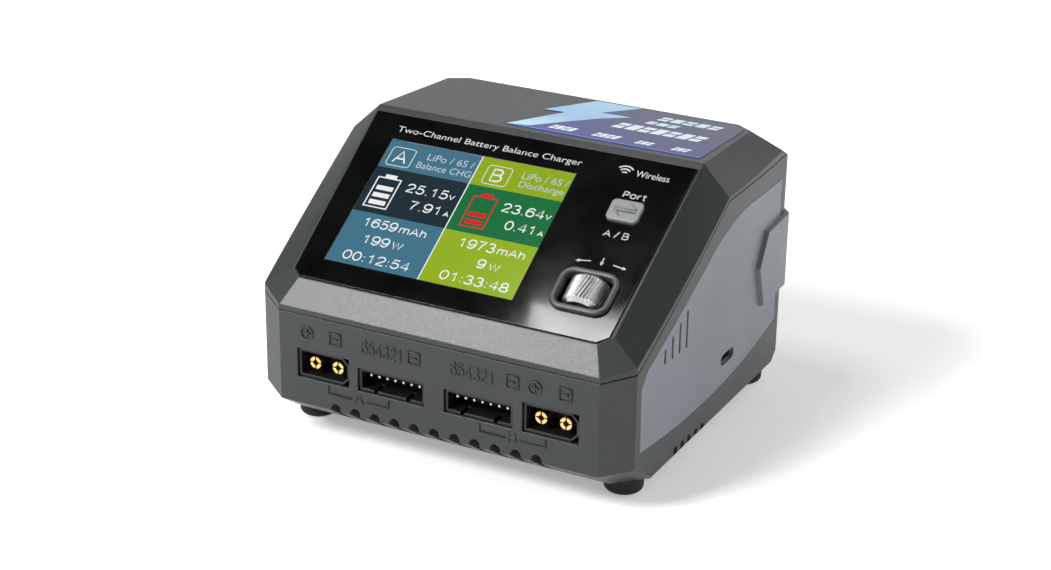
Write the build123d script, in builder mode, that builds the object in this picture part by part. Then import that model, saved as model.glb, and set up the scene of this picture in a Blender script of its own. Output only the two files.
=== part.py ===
from build123d import *
import os
from math import cos, radians, sin, tan

# Balance battery charger for two packs, on four rubber feet.
# Millimetres. +X is to the right, +Y to the back, +Z up.
# The origin is on the resting surface, under the middle of the casing.

os.makedirs("parts", exist_ok=True)

# ---------------------------------------------------------------- driving dimensions
case_width = 117.0
case_depth = 105.5
rear_stand = 0.9
case_top = 79.8
foot_height = 5.2
foot_diameter = 10.8
wall = 2.4
gap = 0.3

face_bottom = 11.3
side_face_bottom = 8.2
back_face_bottom = 8.2
face_top = 39.4
slope_angle = 33.0
slope_start_in = 4.8
slope_start_height = 46.1
top_fall = 2.0
back_bevel_in = 8.5
back_face_top = 71.0
underside_bevel_front = 9.0
underside_bevel_back = 5.0
side_bow = 2.1
corner_cut_x = 8.0
corner_cut_y = 5.2

seam_height = 37.6
seam_corner_rise = 2.2
seam_gap = 0.35
tongue_height = 1.6

glass_thickness = 1.4
glass_stand = 0.4
glass_length = 58.9
glass_border = 0.8
glass_corner = 2.8
screen_width = 57.6
screen_height = 43.2
screen_x = -11.5
screen_up = 28.4
module_border_x = 5.8
module_border_y = 3.4
module_thickness = 2.6
board_thickness = 1.6
wheel_switch_stack = 3.7

wheel_diameter = 12.0
wheel_length = 9.2
wheel_x = 35.5
wheel_up = 13.9
wheel_axis_depth = 2.9
wheel_press = 0.5
axle_diameter = 1.2
running_clearance = 0.05
bezel_side_gap = 0.9
bezel_end_gap = 0.5
bezel_rim = 1.6
bezel_stand = 1.3

button_width = 9.3
button_height = 6.8
button_x = 35.8
button_up = 40.9
button_stand = 0.9
button_press = 0.4

xt_pitch = 7.2
xt_pin_diameter = 3.5
xt_pin_slot = 0.4
xt_width = 16.2
xt_height = 8.3
xt_depth = 16.0
xt_wall = 0.8
xt_x = 34.6
xt_chamfer = 2.4
xh_pitch = 2.5
xh_pins = 7
xh_pin_size = 0.64
xh_height = 6.6
xh_depth = 9.0
xh_wall = 0.8
xh_x = 13.3
port_height = 23.4
port_clearance = 0.15
port_recess = 0.7

vent_count = 11
vent_pitch = 6.15
vent_width = 3.2
vent_top = 13.4
side_vent_count = 5
side_vents_in = 36.5
side_slot_count = 4
side_slot_pitch = 4.1
side_slot_width = 1.0

panel_depth = 1.2
badge_stand = 1.3
usb_width = 9.0
usb_height = 3.3
usb_in = 60.0
usb_z = 24.0

board_half_width = 45.0
post_diameter = 8.6
post_x = 49.6
post_in_front = 30.0
post_in_back = 20.5
post_meet = 34.0
screw_seat = 24.0
foot_front_x = 47.8
foot_back_x = 49.0
foot_in_front = 17.9
foot_in_back = 8.5
inlet_fan_gap = 14.0
inlet_side_gap = 13.0
inlet_height = 30.0
fan_size = 40.0
fan_depth = 10.0
fan_screw_edge = 4.0
fan_blades = 7
rear_panel_thickness = 1.4
rear_opening_height = 54.0

# ---------------------------------------------------------------- derived places
bezel_width = wheel_diameter + 2 * (bezel_side_gap + bezel_rim)
bezel_height = wheel_length + 2 * (bezel_end_gap + bezel_rim)
control_board_depth = wheel_axis_depth + wheel_diameter / 2 + wheel_switch_stack
fan_screw_pitch = fan_size - 2 * fan_screw_edge
inlet_x = fan_size / 2 + inlet_fan_gap
rear_opening_width = 2 * (inlet_x + inlet_side_gap)
half = case_width / 2
front = -(case_depth + rear_stand) / 2
back = front + case_depth
front_half = half - side_bow
back_half = half - side_bow / 2
top_front_in = slope_start_in + (case_top - slope_start_height) / tan(radians(slope_angle))
crease_height = case_top - 7.8
usb_y = front + usb_in
rear_centre_z = (face_bottom + back_face_top) / 2 - 1.5
main_board_top = port_height - xt_height / 2
main_board_bottom = main_board_top - board_thickness
post_places = [
    (side_sign * post_x, y)
    for side_sign in (1, -1)
    for y in (front + post_in_front, back - post_in_back)
]
main_board_holes = [(x, y) for x in (-36, 36) for y in (front + 21, front + 54)]
supply_board_holes = [(x, y) for x in (-37.8, 37.8) for y in (front + 63, back - 19)]
control_board_holes = [(x, up) for x in (-40, 40) for up in (0.9, 56.2)]
fan_front = back - wall - fan_depth
rear_screw_pitch = (rear_opening_width - 7, rear_opening_height - 7)
foot_places = [
    (side_sign * x, y)
    for side_sign in (1, -1)
    for x, y in ((foot_front_x, front + foot_in_front), (foot_back_x, back - foot_in_back))
]


def side_slot_length(index):
    """Length of one of the four side air slots, which grow towards the back."""
    return 4.2 + 2.2 * index


def side_slot_place(index):
    """Centre of one side air slot, as (y, z). Their lower ends stand level."""
    return (front + 20.0 + side_slot_pitch * index, 37.4 + side_slot_length(index) / 2)


# The display plane lies on the glass's outer face, its origin at the middle of the
# glass's lower edge. Its local Y runs up the slope and its local Z points outwards.
slope_out = Vector(0, -sin(radians(slope_angle)), cos(radians(slope_angle)))
slope_up = Vector(0, cos(radians(slope_angle)), sin(radians(slope_angle)))
slope_start = Vector(0, front + slope_start_in, slope_start_height)
display = Plane(
    origin=slope_start + slope_up * 0.5 + slope_out * glass_stand,
    x_dir=(1, 0, 0),
    z_dir=slope_out,
)


def write(piece, label):
    """Label a finished piece and write its STEP file."""
    piece.part.label = label
    export_step(piece.part, f"parts/{label}.step")


# ---------------------------------------------------------------- the casing's form
# Small facets: a point on each and the way it faces, on the right side.
facets = [
    ((front_half - corner_cut_x - 0.2, front, face_top), (0.250, -0.727, 0.640)),
    ((half - 12.1, back - 10.6, case_top - top_fall), (0.32, 0.47, 0.82)),
    ((half - 0.4, 0, side_face_bottom), (0.79, 0, -0.61)),
    ((front_half - corner_cut_x, front, face_bottom), (0.46, -0.47, -0.75)),
    ((back_half - corner_cut_x, back, back_face_bottom), (0.46, 0.47, -0.75)),
]

# The long bevels beside the display and the top twist a little, so each is ruled
# between a lower and an upper edge. These are their ends on the right side.
crease_front = Vector(front_half, front + corner_cut_y, seam_height + 4.5)
crease_top = Vector(half, front + top_front_in - 0.8, crease_height)
crease_back = Vector(back_half + 0.3, back - corner_cut_y, crease_height + 1.2)
frame_front = Vector(front_half - corner_cut_x - 0.2, front + 6.8, slope_start_height + 1.5)
frame_top = Vector(half - 8.2, front + top_front_in, case_top)
frame_back = Vector(half - 9.9, back - 12.6, case_top - top_fall + 0.2)


def bevel_cutter(lower_edge, upper_edge, inset):
    """The waste outside one long bevel, on both sides of the casing."""
    across = upper_edge[0] - lower_edge[0]
    along = upper_edge[1] - upper_edge[0]
    outward = along.cross(across).normalized()
    if outward.X < 0:
        outward = -outward
    with BuildPart() as waste:
        for reach in (-0.3, 1.3):
            low = lower_edge[0] + (lower_edge[1] - lower_edge[0]) * reach - outward * inset
            high = upper_edge[0] + (upper_edge[1] - upper_edge[0]) * reach - outward * inset
            over = high - low
            section = Plane(origin=(low + high) / 2, x_dir=over, z_dir=over.cross(outward))
            with BuildSketch(section):
                Rectangle(over.length + 12, 25, align=(Align.CENTER, Align.MIN))
        loft(ruled=True)
        mirror(about=Plane.YZ)
    return waste.part


def casing_form(inset):
    """The casing as one faceted solid, with every face moved in by inset."""
    with BuildPart() as form:
        with BuildSketch(Plane.YZ):
            with BuildLine():
                Polyline(
                    (front, face_bottom),
                    (front, face_top),
                    (front + slope_start_in, slope_start_height),
                    (front + top_front_in, case_top),
                    (back - back_bevel_in, case_top - top_fall),
                    (back, back_face_top),
                    (back, back_face_bottom),
                    (back - underside_bevel_back, foot_height),
                    (front + underside_bevel_front, foot_height),
                    close=True,
                )
            make_face()
            if inset:
                offset(amount=-inset, kind=Kind.INTERSECTION)
        extrude(amount=case_width, both=True)
        with BuildSketch(Plane.XY):
            with BuildLine():
                Polyline(
                    (0, front),
                    (front_half - corner_cut_x, front),
                    (front_half, front + corner_cut_y),
                )
                ThreePointArc(
                    (front_half, front + corner_cut_y),
                    (half, front + top_front_in),
                    (back_half, back - corner_cut_y),
                )
                Polyline(
                    (back_half, back - corner_cut_y),
                    (back_half - corner_cut_x, back),
                    (0, back),
                )
                mirror(about=Plane.YZ)
            make_face()
            if inset:
                offset(amount=-inset, kind=Kind.INTERSECTION)
        extrude(amount=case_top * 2, mode=Mode.INTERSECT)
        for point, facing in facets:
            for side_sign in (1, -1):
                cut = Plane(
                    origin=(side_sign * point[0], point[1], point[2]),
                    z_dir=(side_sign * facing[0], facing[1], facing[2]),
                )
                split(bisect_by=cut.offset(-inset), keep=Keep.BOTTOM)
        display_edges = ((crease_front, crease_top), (frame_front, frame_top))
        top_edges = ((crease_top, crease_back), (frame_top, frame_back))
        add(bevel_cutter(*display_edges, inset), mode=Mode.SUBTRACT)
        add(bevel_cutter(*top_edges, inset), mode=Mode.SUBTRACT)
    return form.part


def above_seam(lift):
    """A slab over the parting line between the shells, raised by lift."""
    with BuildPart() as slab:
        with BuildSketch(Plane.YZ):
            with BuildLine():
                Polyline(
                    (front - wall, seam_height + lift),
                    (front, seam_height + lift),
                    (front + corner_cut_y, seam_height + seam_corner_rise + lift),
                    (front + top_front_in - 0.6, crease_height - 1.2 + lift),
                    (back + wall, back_face_top - 0.4 + lift),
                    (back + wall, case_top * 2),
                    (front - wall, case_top * 2),
                    close=True,
                )
            make_face()
        extrude(amount=case_width, both=True)
    return slab.part


outer = casing_form(0)
middle = casing_form(wall / 2)
inner = casing_form(wall)
upper_zone = above_seam(0)
groove_zone = above_seam(seam_gap)
tongue_zone = above_seam(tongue_height)
panel_floor = casing_form(panel_depth)
badge_form = casing_form(-badge_stand)


def side_outline(shrink):
    """The side panel's outline, as a bar through both sides of the casing."""
    with BuildPart() as bar:
        with BuildSketch(Plane.YZ):
            with BuildLine():
                Polyline(
                    (front + 7.8, 16.6),
                    (front + 7.5, 35.1),
                    (front + 10.4, 39.2),
                    (front + 46.0, crease_height - 13.2),
                )
                ThreePointArc(
                    (front + 46.0, crease_height - 13.2),
                    (front + 58.0, crease_height - 8.6),
                    (front + 72.0, crease_height - 6.8),
                )
                Line((front + 72.0, crease_height - 6.8), (back - 8.5, crease_height - 7.6))
                Line((back - 8.5, crease_height - 7.6), (back - 8.5, 21.0))
                ThreePointArc((back - 8.5, 21.0), (front + 50, 16.2), (front + 7.8, 16.6))
            make_face()
            if shrink:
                offset(amount=-shrink, kind=Kind.INTERSECTION)
        extrude(amount=case_width, both=True)
    return bar.part


panel_bar = side_outline(0.15)
recess_bar = side_outline(0)


# ---------------------------------------------------------------- upper shell
# The top, the long bevels and the frame round the display, with the upper halves of
# the four screw posts and the four bosses that carry the control board.
def glass_outline(grow):
    """The display glass's outline on the display plane, grown by a clearance."""
    with BuildSketch() as outline:
        with BuildLine():
            Polyline(
                (0, -grow),
                (front_half - corner_cut_x - 3.8 + grow, -grow),
                (frame_front.X - glass_border + grow, 2.15),
                (frame_top.X - glass_border + grow, glass_length + grow),
                (0, glass_length + grow),
            )
            mirror(about=Plane.YZ)
        make_face()
    return outline.sketch


screen_centre = (screen_x, screen_up)
wheel_centre = (wheel_x, wheel_up)
button_centre = (button_x, button_up)
shell_floor = glass_stand + wall
wheel_opening = (wheel_diameter + 2.4, wheel_length + 3.4)

with BuildPart() as upper_shell:
    add(outer)
    add(inner, mode=Mode.SUBTRACT)
    add(groove_zone, mode=Mode.INTERSECT)
    add(middle - tongue_zone, mode=Mode.SUBTRACT)
    with BuildSketch(Plane.XY.offset(post_meet)):
        with Locations(*post_places):
            Circle(post_diameter / 2 - 0.8)
    extrude(amount=case_top)
    with BuildSketch(display.offset(-shell_floor)):
        with Locations(*control_board_holes):
            Circle(2.0)
    extrude(amount=shell_floor - control_board_depth)
    add(outer, mode=Mode.INTERSECT)
    with BuildSketch(display):
        add(glass_outline(0.12))
    extrude(amount=glass_thickness, both=True, mode=Mode.SUBTRACT)
    with BuildSketch(display.offset(-glass_thickness)):
        with Locations(screen_centre):
            Rectangle(
                screen_width + 2 * module_border_x + 0.4,
                screen_height + 2 * module_border_y + 0.4,
            )
        with Locations(wheel_centre):
            RectangleRounded(*wheel_opening, 1.5)
        with Locations(button_centre):
            RectangleRounded(button_width + 2 * gap, button_height + 2 * gap, 1.5)
    extrude(amount=-wall, mode=Mode.SUBTRACT)
    with BuildSketch(Plane.XY.offset(post_meet)):
        with Locations(*post_places):
            Circle(1.25)
    extrude(amount=10, mode=Mode.SUBTRACT)
    with BuildSketch(display.offset(-control_board_depth)):
        with Locations(*control_board_holes):
            Circle(0.8)
    extrude(amount=6, mode=Mode.SUBTRACT)
write(upper_shell, "upper_shell")

# ---------------------------------------------------------------- lower shell
# The tray: front face, side walls, underside and back wall, with the tongue that
# locates the upper shell.
port_centres = [(-xt_x, port_height), (xt_x, port_height)]
header_height = main_board_top + xh_height / 2
header_centres = [(-xh_x, header_height), (xh_x, header_height)]
header_width = xh_pitch * (xh_pins - 1) + 5.4
rear_opening = (rear_opening_width, rear_opening_height)

with BuildPart() as lower_shell:
    add(outer)
    add(inner, mode=Mode.SUBTRACT)
    add(upper_zone, mode=Mode.SUBTRACT)
    add((middle - inner) & (upper_zone - tongue_zone))
    with BuildSketch(Plane.XY.offset(foot_height + wall / 2)):
        with Locations(*post_places):
            Circle(post_diameter / 2)
    extrude(amount=post_meet - foot_height - wall / 2)
    with BuildSketch(Plane.XY.offset(foot_height + wall / 2)):
        with Locations(*main_board_holes, *supply_board_holes):
            Circle(3.0)
    extrude(amount=main_board_bottom - foot_height - wall / 2)
    with BuildSketch(Plane.XY.offset(foot_height)):
        with Locations(*post_places):
            Circle(3.1)
    extrude(amount=screw_seat - foot_height, mode=Mode.SUBTRACT)
    with BuildSketch(Plane.XY.offset(screw_seat)):
        with Locations(*post_places):
            Circle(1.7)
    extrude(amount=post_meet - screw_seat, mode=Mode.SUBTRACT)
    with BuildSketch(Plane.XY.offset(main_board_bottom)):
        with Locations(*main_board_holes, *supply_board_holes):
            Circle(0.8)
    extrude(amount=-6, mode=Mode.SUBTRACT)
    # Openings for the four front sockets.
    with BuildSketch(Plane.XZ.offset(-front)):
        with Locations(*port_centres):
            Rectangle(xt_width + 2 * port_clearance, xt_height + 2 * port_clearance)
        with Locations(*header_centres):
            Rectangle(header_width + 2 * port_clearance, xh_height + 2 * port_clearance)
    extrude(amount=-wall, mode=Mode.SUBTRACT)
    # Round-nosed air slots along the front's lower edge.
    with BuildSketch(Plane.XZ.offset(-front)):
        with Locations((0, vent_top - 6)):
            with GridLocations(vent_pitch, 1, vent_count, 1):
                SlotOverall(12, vent_width, rotation=90)
    extrude(amount=-(underside_bevel_front - 1.5), mode=Mode.SUBTRACT)
    # Notches along both lower side edges.
    for side_sign in (1, -1):
        with BuildSketch(Plane.YZ.offset(side_sign * half)):
            with Locations((front + side_vents_in, foot_height + 2)):
                with GridLocations(side_slot_pitch, 1, side_vent_count, 1):
                    SlotOverall(6.0, 2.2, rotation=90)
        extrude(amount=-side_sign * 7.5, mode=Mode.SUBTRACT)
    # Recesses for the side panels, with the air slots and the USB opening behind them.
    add(recess_bar - panel_floor, mode=Mode.SUBTRACT)
    for side_sign in (1, -1):
        with BuildSketch(Plane.YZ.offset(side_sign * (half - 8))):
            for index in range(side_slot_count):
                with Locations(side_slot_place(index)):
                    SlotOverall(side_slot_length(index), side_slot_width, rotation=90)
        extrude(amount=side_sign * 10, mode=Mode.SUBTRACT)
    with BuildSketch(Plane.YZ.offset(half - 8)):
        with Locations((usb_y, usb_z)):
            SlotOverall(usb_width + 0.6, usb_height + 0.6)
    extrude(amount=10, mode=Mode.SUBTRACT)
    # Stepped opening for the rear panel.
    with BuildSketch(Plane.XZ.offset(-back)):
        with Locations((0, rear_centre_z)):
            Rectangle(*rear_opening)
    extrude(amount=rear_panel_thickness, mode=Mode.SUBTRACT)
    with BuildSketch(Plane.XZ.offset(-back)):
        with Locations((0, rear_centre_z)):
            Rectangle(rear_opening_width - 5, rear_opening_height - 5)
            with GridLocations(rear_opening_width - 5, rear_opening_height - 5, 2, 2):
                Circle(7, mode=Mode.SUBTRACT)
    extrude(amount=wall + 1, mode=Mode.SUBTRACT)
    with BuildSketch(Plane.XZ.offset(-back)):
        with Locations((0, rear_centre_z)):
            with GridLocations(*rear_screw_pitch, 2, 2):
                Circle(1.0)
    extrude(amount=wall + 1, mode=Mode.SUBTRACT)
    # Blind sockets for the feet's stems.
    with BuildSketch(Plane.XY.offset(foot_height)):
        with Locations(*foot_places):
            Circle(2.0)
    extrude(amount=1.5, mode=Mode.SUBTRACT)
write(lower_shell, "lower_shell")

# ---------------------------------------------------------------- side panels
# Satin panels let into the side walls. Each has a raised badge at its rear end, and
# the right one has the USB opening.
for side_sign, side_name in ((1, "right"), (-1, "left")):
    with BuildPart() as side_panel:
        add((outer - panel_floor) & panel_bar)
        with BuildSketch(Plane.YZ.offset(side_sign * (half - 3))):
            with BuildLine():
                Polyline(
                    (back + 1, rear_centre_z + 14.3),
                    (back - 22, rear_centre_z + 14.3),
                    (back - 28.5, rear_centre_z + 3.9),
                    (back - 23.5, rear_centre_z - 10.1),
                    (back + 1, rear_centre_z - 10.1),
                    close=True,
                )
            make_face()
        extrude(amount=side_sign * 8, taper=20)
        keep = (outer - panel_floor) & panel_bar
        add(keep + (badge_form - outer), mode=Mode.INTERSECT)
        with BuildSketch(Plane.YZ.offset(side_sign * (half - 8))):
            for index in range(side_slot_count):
                with Locations(side_slot_place(index)):
                    SlotOverall(side_slot_length(index), side_slot_width, rotation=90)
            if side_name == "right":
                with Locations((usb_y, usb_z)):
                    SlotOverall(usb_width, usb_height)
        extrude(amount=side_sign * 10, mode=Mode.SUBTRACT)
        split(bisect_by=Plane.YZ, keep=Keep.TOP if side_sign > 0 else Keep.BOTTOM)
    write(side_panel, f"side_panel_{side_name}")

# ---------------------------------------------------------------- display
with BuildPart() as display_glass:
    with BuildSketch(display):
        add(glass_outline(0))
        with Locations(screen_centre):
            Rectangle(screen_width, screen_height, mode=Mode.SUBTRACT)
        with Locations(wheel_centre):
            RectangleRounded(bezel_width + 0.2, bezel_height + 0.2, 4.1, mode=Mode.SUBTRACT)
        with Locations(button_centre):
            RectangleRounded(
                button_width + 2 * gap, button_height + 2 * gap, 1.5, mode=Mode.SUBTRACT
            )
    extrude(amount=-glass_thickness)
write(display_glass, "display_glass")

# The screen module lies behind the glass. Its active area fills the glass's window.
with BuildPart() as lcd_module:
    with BuildSketch(display.offset(-glass_thickness)):
        with Locations(screen_centre):
            Rectangle(screen_width + 2 * module_border_x, screen_height + 2 * module_border_y)
    extrude(amount=-module_thickness)
    with BuildSketch(display.offset(-glass_thickness)):
        with Locations(screen_centre):
            Rectangle(screen_width - 0.1, screen_height - 0.1)
    extrude(amount=glass_thickness - 0.06)
write(lcd_module, "lcd_module")

# ---------------------------------------------------------------- control board
control_board_size = (2 * board_half_width, 58.0)
with BuildPart() as control_board:
    with BuildSketch(display.offset(-control_board_depth)):
        with Locations((0, 28.5)):
            Rectangle(*control_board_size)
        with Locations(*control_board_holes):
            Circle(1.1, mode=Mode.SUBTRACT)
    extrude(amount=-board_thickness)
write(control_board, "control_board")

# Four spacers hold the screen module off the control board.
module_back = glass_thickness + module_thickness
with BuildPart() as module_spacers:
    with BuildSketch(display.offset(-control_board_depth)):
        with Locations(screen_centre):
            with GridLocations(screen_width, screen_height - 8, 2, 2):
                Circle(2.0)
    extrude(amount=control_board_depth - module_back)
write(module_spacers, "module_spacers")

# ---------------------------------------------------------------- scroll wheel
# The roller turns on an axle that runs up the slope. Its yoke slides down inside a
# guide frame when the roller is pressed, onto a switch on the control board.
wheel_axis = display.offset(-wheel_axis_depth)
yoke_inside = wheel_length / 2 + gap
yoke_arm = 0.9
yoke_floor = wheel_axis_depth + wheel_diameter / 2 + 0.5
yoke_width = wheel_diameter - 0.6
yoke_length = 2 * (yoke_inside + yoke_arm)

# A plane whose local Z runs up the slope, through the roller's middle.
roller_plane = Plane(
    origin=wheel_axis.from_local_coords((wheel_x, wheel_up, 0)),
    x_dir=(1, 0, 0),
    z_dir=slope_up,
)

with BuildPart() as wheel_bezel:
    with BuildSketch(display.offset(-glass_thickness)):
        with Locations(wheel_centre):
            RectangleRounded(bezel_width, bezel_height, 4.0)
            RectangleRounded(
                bezel_width - 2 * bezel_rim, bezel_height - 2 * bezel_rim, 2.4, mode=Mode.SUBTRACT
            )
    extrude(amount=glass_thickness + bezel_stand)
    rim_edges = wheel_bezel.faces().sort_by(Axis(origin=(0, 0, 0), direction=slope_out))[-1].edges()
    fillet(rim_edges, 0.6)
write(wheel_bezel, "wheel_bezel")

with BuildPart() as scroll_wheel:
    with BuildSketch(roller_plane.offset(-wheel_length / 2)):
        Circle(wheel_diameter / 2)
        Circle(axle_diameter / 2 + running_clearance, mode=Mode.SUBTRACT)
    extrude(amount=wheel_length)
    rim = scroll_wheel.edges().filter_by(GeomType.CIRCLE).group_by(SortBy.RADIUS)[-1]
    chamfer(rim, 0.9)
write(scroll_wheel, "scroll_wheel")

with BuildPart() as wheel_axle:
    with BuildSketch(roller_plane.offset(-yoke_length / 2)):
        Circle(axle_diameter / 2)
    extrude(amount=yoke_length)
write(wheel_axle, "wheel_axle")

with BuildPart() as wheel_yoke:
    with BuildSketch(display.offset(-yoke_floor)):
        with Locations(wheel_centre):
            Rectangle(yoke_width, yoke_length)
    extrude(amount=-1.0)
    with BuildSketch(display.offset(-yoke_floor)):
        with Locations(wheel_centre):
            with GridLocations(1, 2 * yoke_inside + yoke_arm, 1, 2):
                Rectangle(6.0, yoke_arm)
    extrude(amount=yoke_floor - glass_thickness - gap - 0.1)
    with BuildSketch(roller_plane):
        Circle(axle_diameter / 2)
    extrude(amount=yoke_length, both=True, mode=Mode.SUBTRACT)
write(wheel_yoke, "wheel_yoke")

with BuildPart() as wheel_guide:
    with BuildSketch(display.offset(-control_board_depth)):
        with Locations(wheel_centre):
            Rectangle(yoke_width + 2 * gap + 2, yoke_length + 2 * gap + 2)
            Rectangle(yoke_width + 2 * gap, yoke_length + 2 * gap, mode=Mode.SUBTRACT)
    extrude(amount=control_board_depth - yoke_floor + 2.5)
write(wheel_guide, "wheel_guide")

yoke_underside = yoke_floor + 1.0
with BuildPart() as wheel_switch:
    with BuildSketch(display.offset(-control_board_depth)):
        with Locations(wheel_centre):
            Rectangle(6.0, 6.0)
    extrude(amount=control_board_depth - yoke_underside - wheel_press - 0.7)
    with BuildSketch(display.offset(-control_board_depth)):
        with Locations(wheel_centre):
            Circle(1.6)
    extrude(amount=control_board_depth - yoke_underside - wheel_press - 0.05)
write(wheel_switch, "wheel_switch")

# ---------------------------------------------------------------- port button
button_flange_top = shell_floor + gap
button_stem_end = control_board_depth - 3.6
with BuildPart() as port_button:
    with BuildSketch(display.offset(-button_flange_top)):
        with Locations(button_centre):
            RectangleRounded(button_width, button_height, 1.4)
    extrude(amount=button_flange_top + button_stand)
    cap = port_button.faces().sort_by(Axis(origin=(0, 0, 0), direction=slope_out))[-1]
    fillet(cap.edges(), 0.35)
    with BuildSketch(display.offset(-button_flange_top)):
        with Locations(button_centre):
            RectangleRounded(button_width + 2, button_height + 2, 1.4)
    extrude(amount=-0.9)
    with BuildSketch(display.offset(-button_flange_top)):
        with Locations(button_centre):
            Rectangle(3.0, 3.0)
    extrude(amount=button_flange_top - button_stem_end)
write(port_button, "port_button")

with BuildPart() as port_switch:
    with BuildSketch(display.offset(-control_board_depth)):
        with Locations(button_centre):
            Rectangle(6.0, 6.0)
    extrude(amount=control_board_depth - button_stem_end - button_press - 0.6)
    with BuildSketch(display.offset(-control_board_depth)):
        with Locations(button_centre):
            Circle(1.5)
    extrude(amount=control_board_depth - button_stem_end - button_press - 0.05)
write(port_switch, "port_switch")

# ---------------------------------------------------------------- charge sockets
def socket_shell(mouth):
    """A two-pin power socket's shroud. Its mouth is at the plane's origin."""
    with BuildPart() as shroud:
        with BuildSketch(mouth):
            with BuildLine():
                Polyline(
                    (-xt_width / 2, -xt_height / 2),
                    (xt_width / 2 - xt_chamfer, -xt_height / 2),
                    (xt_width / 2, -xt_height / 2 + xt_chamfer),
                    (xt_width / 2, xt_height / 2 - xt_chamfer),
                    (xt_width / 2 - xt_chamfer, xt_height / 2),
                    (-xt_width / 2, xt_height / 2),
                    close=True,
                )
            make_face()
        extrude(amount=-xt_depth)
        with BuildSketch(mouth):
            with BuildLine():
                Polyline(
                    (-xt_width / 2 + xt_wall, -xt_height / 2 + xt_wall),
                    (xt_width / 2 - xt_chamfer, -xt_height / 2 + xt_wall),
                    (xt_width / 2 - xt_wall, -xt_height / 2 + xt_chamfer),
                    (xt_width / 2 - xt_wall, xt_height / 2 - xt_chamfer),
                    (xt_width / 2 - xt_chamfer, xt_height / 2 - xt_wall),
                    (-xt_width / 2 + xt_wall, xt_height / 2 - xt_wall),
                    close=True,
                )
            make_face()
        extrude(amount=-9.0, mode=Mode.SUBTRACT)
        with BuildSketch(mouth):
            with GridLocations(xt_pitch, 1, 2, 1):
                Circle(xt_pin_diameter / 2)
        extrude(amount=-xt_depth, mode=Mode.SUBTRACT)
    return shroud


def socket_pins(mouth):
    """The two split bullet pins of a power socket."""
    with BuildPart() as pins:
        with BuildSketch(mouth.offset(-1.2)):
            with GridLocations(xt_pitch, 1, 2, 1):
                Circle(xt_pin_diameter / 2)
                Circle(0.8, mode=Mode.SUBTRACT)
                Rectangle(xt_pin_diameter + 1, xt_pin_slot, mode=Mode.SUBTRACT)
                Rectangle(xt_pin_slot, xt_pin_diameter + 1, mode=Mode.SUBTRACT)
        extrude(amount=-6.5)
        with BuildSketch(mouth.offset(-7.7)):
            with GridLocations(xt_pitch, 1, 2, 1):
                Circle(xt_pin_diameter / 2)
        extrude(amount=-(xt_depth - 7.7 + 1.5))
    return pins


for letter, x in (("a", -xt_x), ("b", xt_x)):
    mouth = Plane(origin=(x, front + port_recess, port_height), x_dir=(1, 0, 0), z_dir=(0, -1, 0))
    write(socket_shell(mouth), f"charge_socket_{letter}")
    write(socket_pins(mouth), f"charge_pins_{letter}")

# ---------------------------------------------------------------- balance headers
for letter, x in (("a", -xh_x), ("b", xh_x)):
    mouth = Plane(origin=(x, front + port_recess, header_height), x_dir=(1, 0, 0), z_dir=(0, -1, 0))
    with BuildPart() as header:
        with BuildSketch(mouth):
            Rectangle(header_width, xh_height)
        extrude(amount=-xh_depth)
        with BuildSketch(mouth):
            Rectangle(header_width - 2 * xh_wall, xh_height - 2 * xh_wall)
        extrude(amount=-(xh_depth - 2.0), mode=Mode.SUBTRACT)
        # Two keying slots through the lower wall.
        with BuildSketch(mouth):
            with Locations((0, -xh_height / 2)):
                with GridLocations(xh_pitch * 4, 1, 2, 1):
                    Rectangle(1.2, 2 * xh_wall + 0.4)
        extrude(amount=-4.0, mode=Mode.SUBTRACT)
        with BuildSketch(mouth.offset(-xh_depth)):
            with Locations((0, 0.9)):
                with GridLocations(xh_pitch, 1, xh_pins, 1):
                    Rectangle(xh_pin_size, xh_pin_size)
        extrude(amount=4, mode=Mode.SUBTRACT)
    write(header, f"balance_header_{letter}")
    with BuildPart() as pins:
        with BuildSketch(mouth.offset(-1.8)):
            with Locations((0, 0.9)):
                with GridLocations(xh_pitch, 1, xh_pins, 1):
                    Rectangle(xh_pin_size, xh_pin_size)
        extrude(amount=-(xh_depth - 1.8 + 1.5))
        with BuildSketch(mouth.offset(-xh_depth - 0.9)):
            with Locations((0, (0.9 - xh_height / 2 + xh_pin_size / 2) / 2 - 0.8)):
                with GridLocations(xh_pitch, 1, xh_pins, 1):
                    Rectangle(xh_pin_size, xh_height / 2 + 0.9 + xh_pin_size / 2 + 1.6)
        extrude(amount=-xh_pin_size)
    write(pins, f"balance_pins_{letter}")

# ---------------------------------------------------------------- USB-C port
with BuildPart() as usb_port:
    with BuildSketch(Plane.YZ.offset(half - 0.9)):
        with Locations((usb_y, usb_z)):
            SlotOverall(usb_width - 0.1, usb_height - 0.1)
            SlotOverall(usb_width - 0.8, usb_height - 0.8, mode=Mode.SUBTRACT)
    extrude(amount=-7.4)
    with BuildSketch(Plane.YZ.offset(half - 8.3)):
        with Locations((usb_y, usb_z)):
            SlotOverall(usb_width - 0.1, usb_height - 0.1)
    extrude(amount=-1.0)
    with BuildSketch(Plane.YZ.offset(half - 8.3)):
        with Locations((usb_y, usb_z)):
            Rectangle(usb_width - 3.0, 0.7)
    extrude(amount=6.0)
write(usb_port, "usb_port")

with BuildPart() as usb_board:
    with BuildSketch(Plane.XY.offset(usb_z - (usb_height - 0.1) / 2)):
        with Locations((half - 13.5, usb_y)):
            Rectangle(16.0, 15.0)
    extrude(amount=-1.2)
    with BuildSketch(Plane.XY.offset(usb_z - (usb_height - 0.1) / 2)):
        with Locations((half - 17.5, usb_y)):
            Rectangle(7.0, 9.0)
    extrude(amount=3.0)
write(usb_board, "usb_board")

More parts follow.
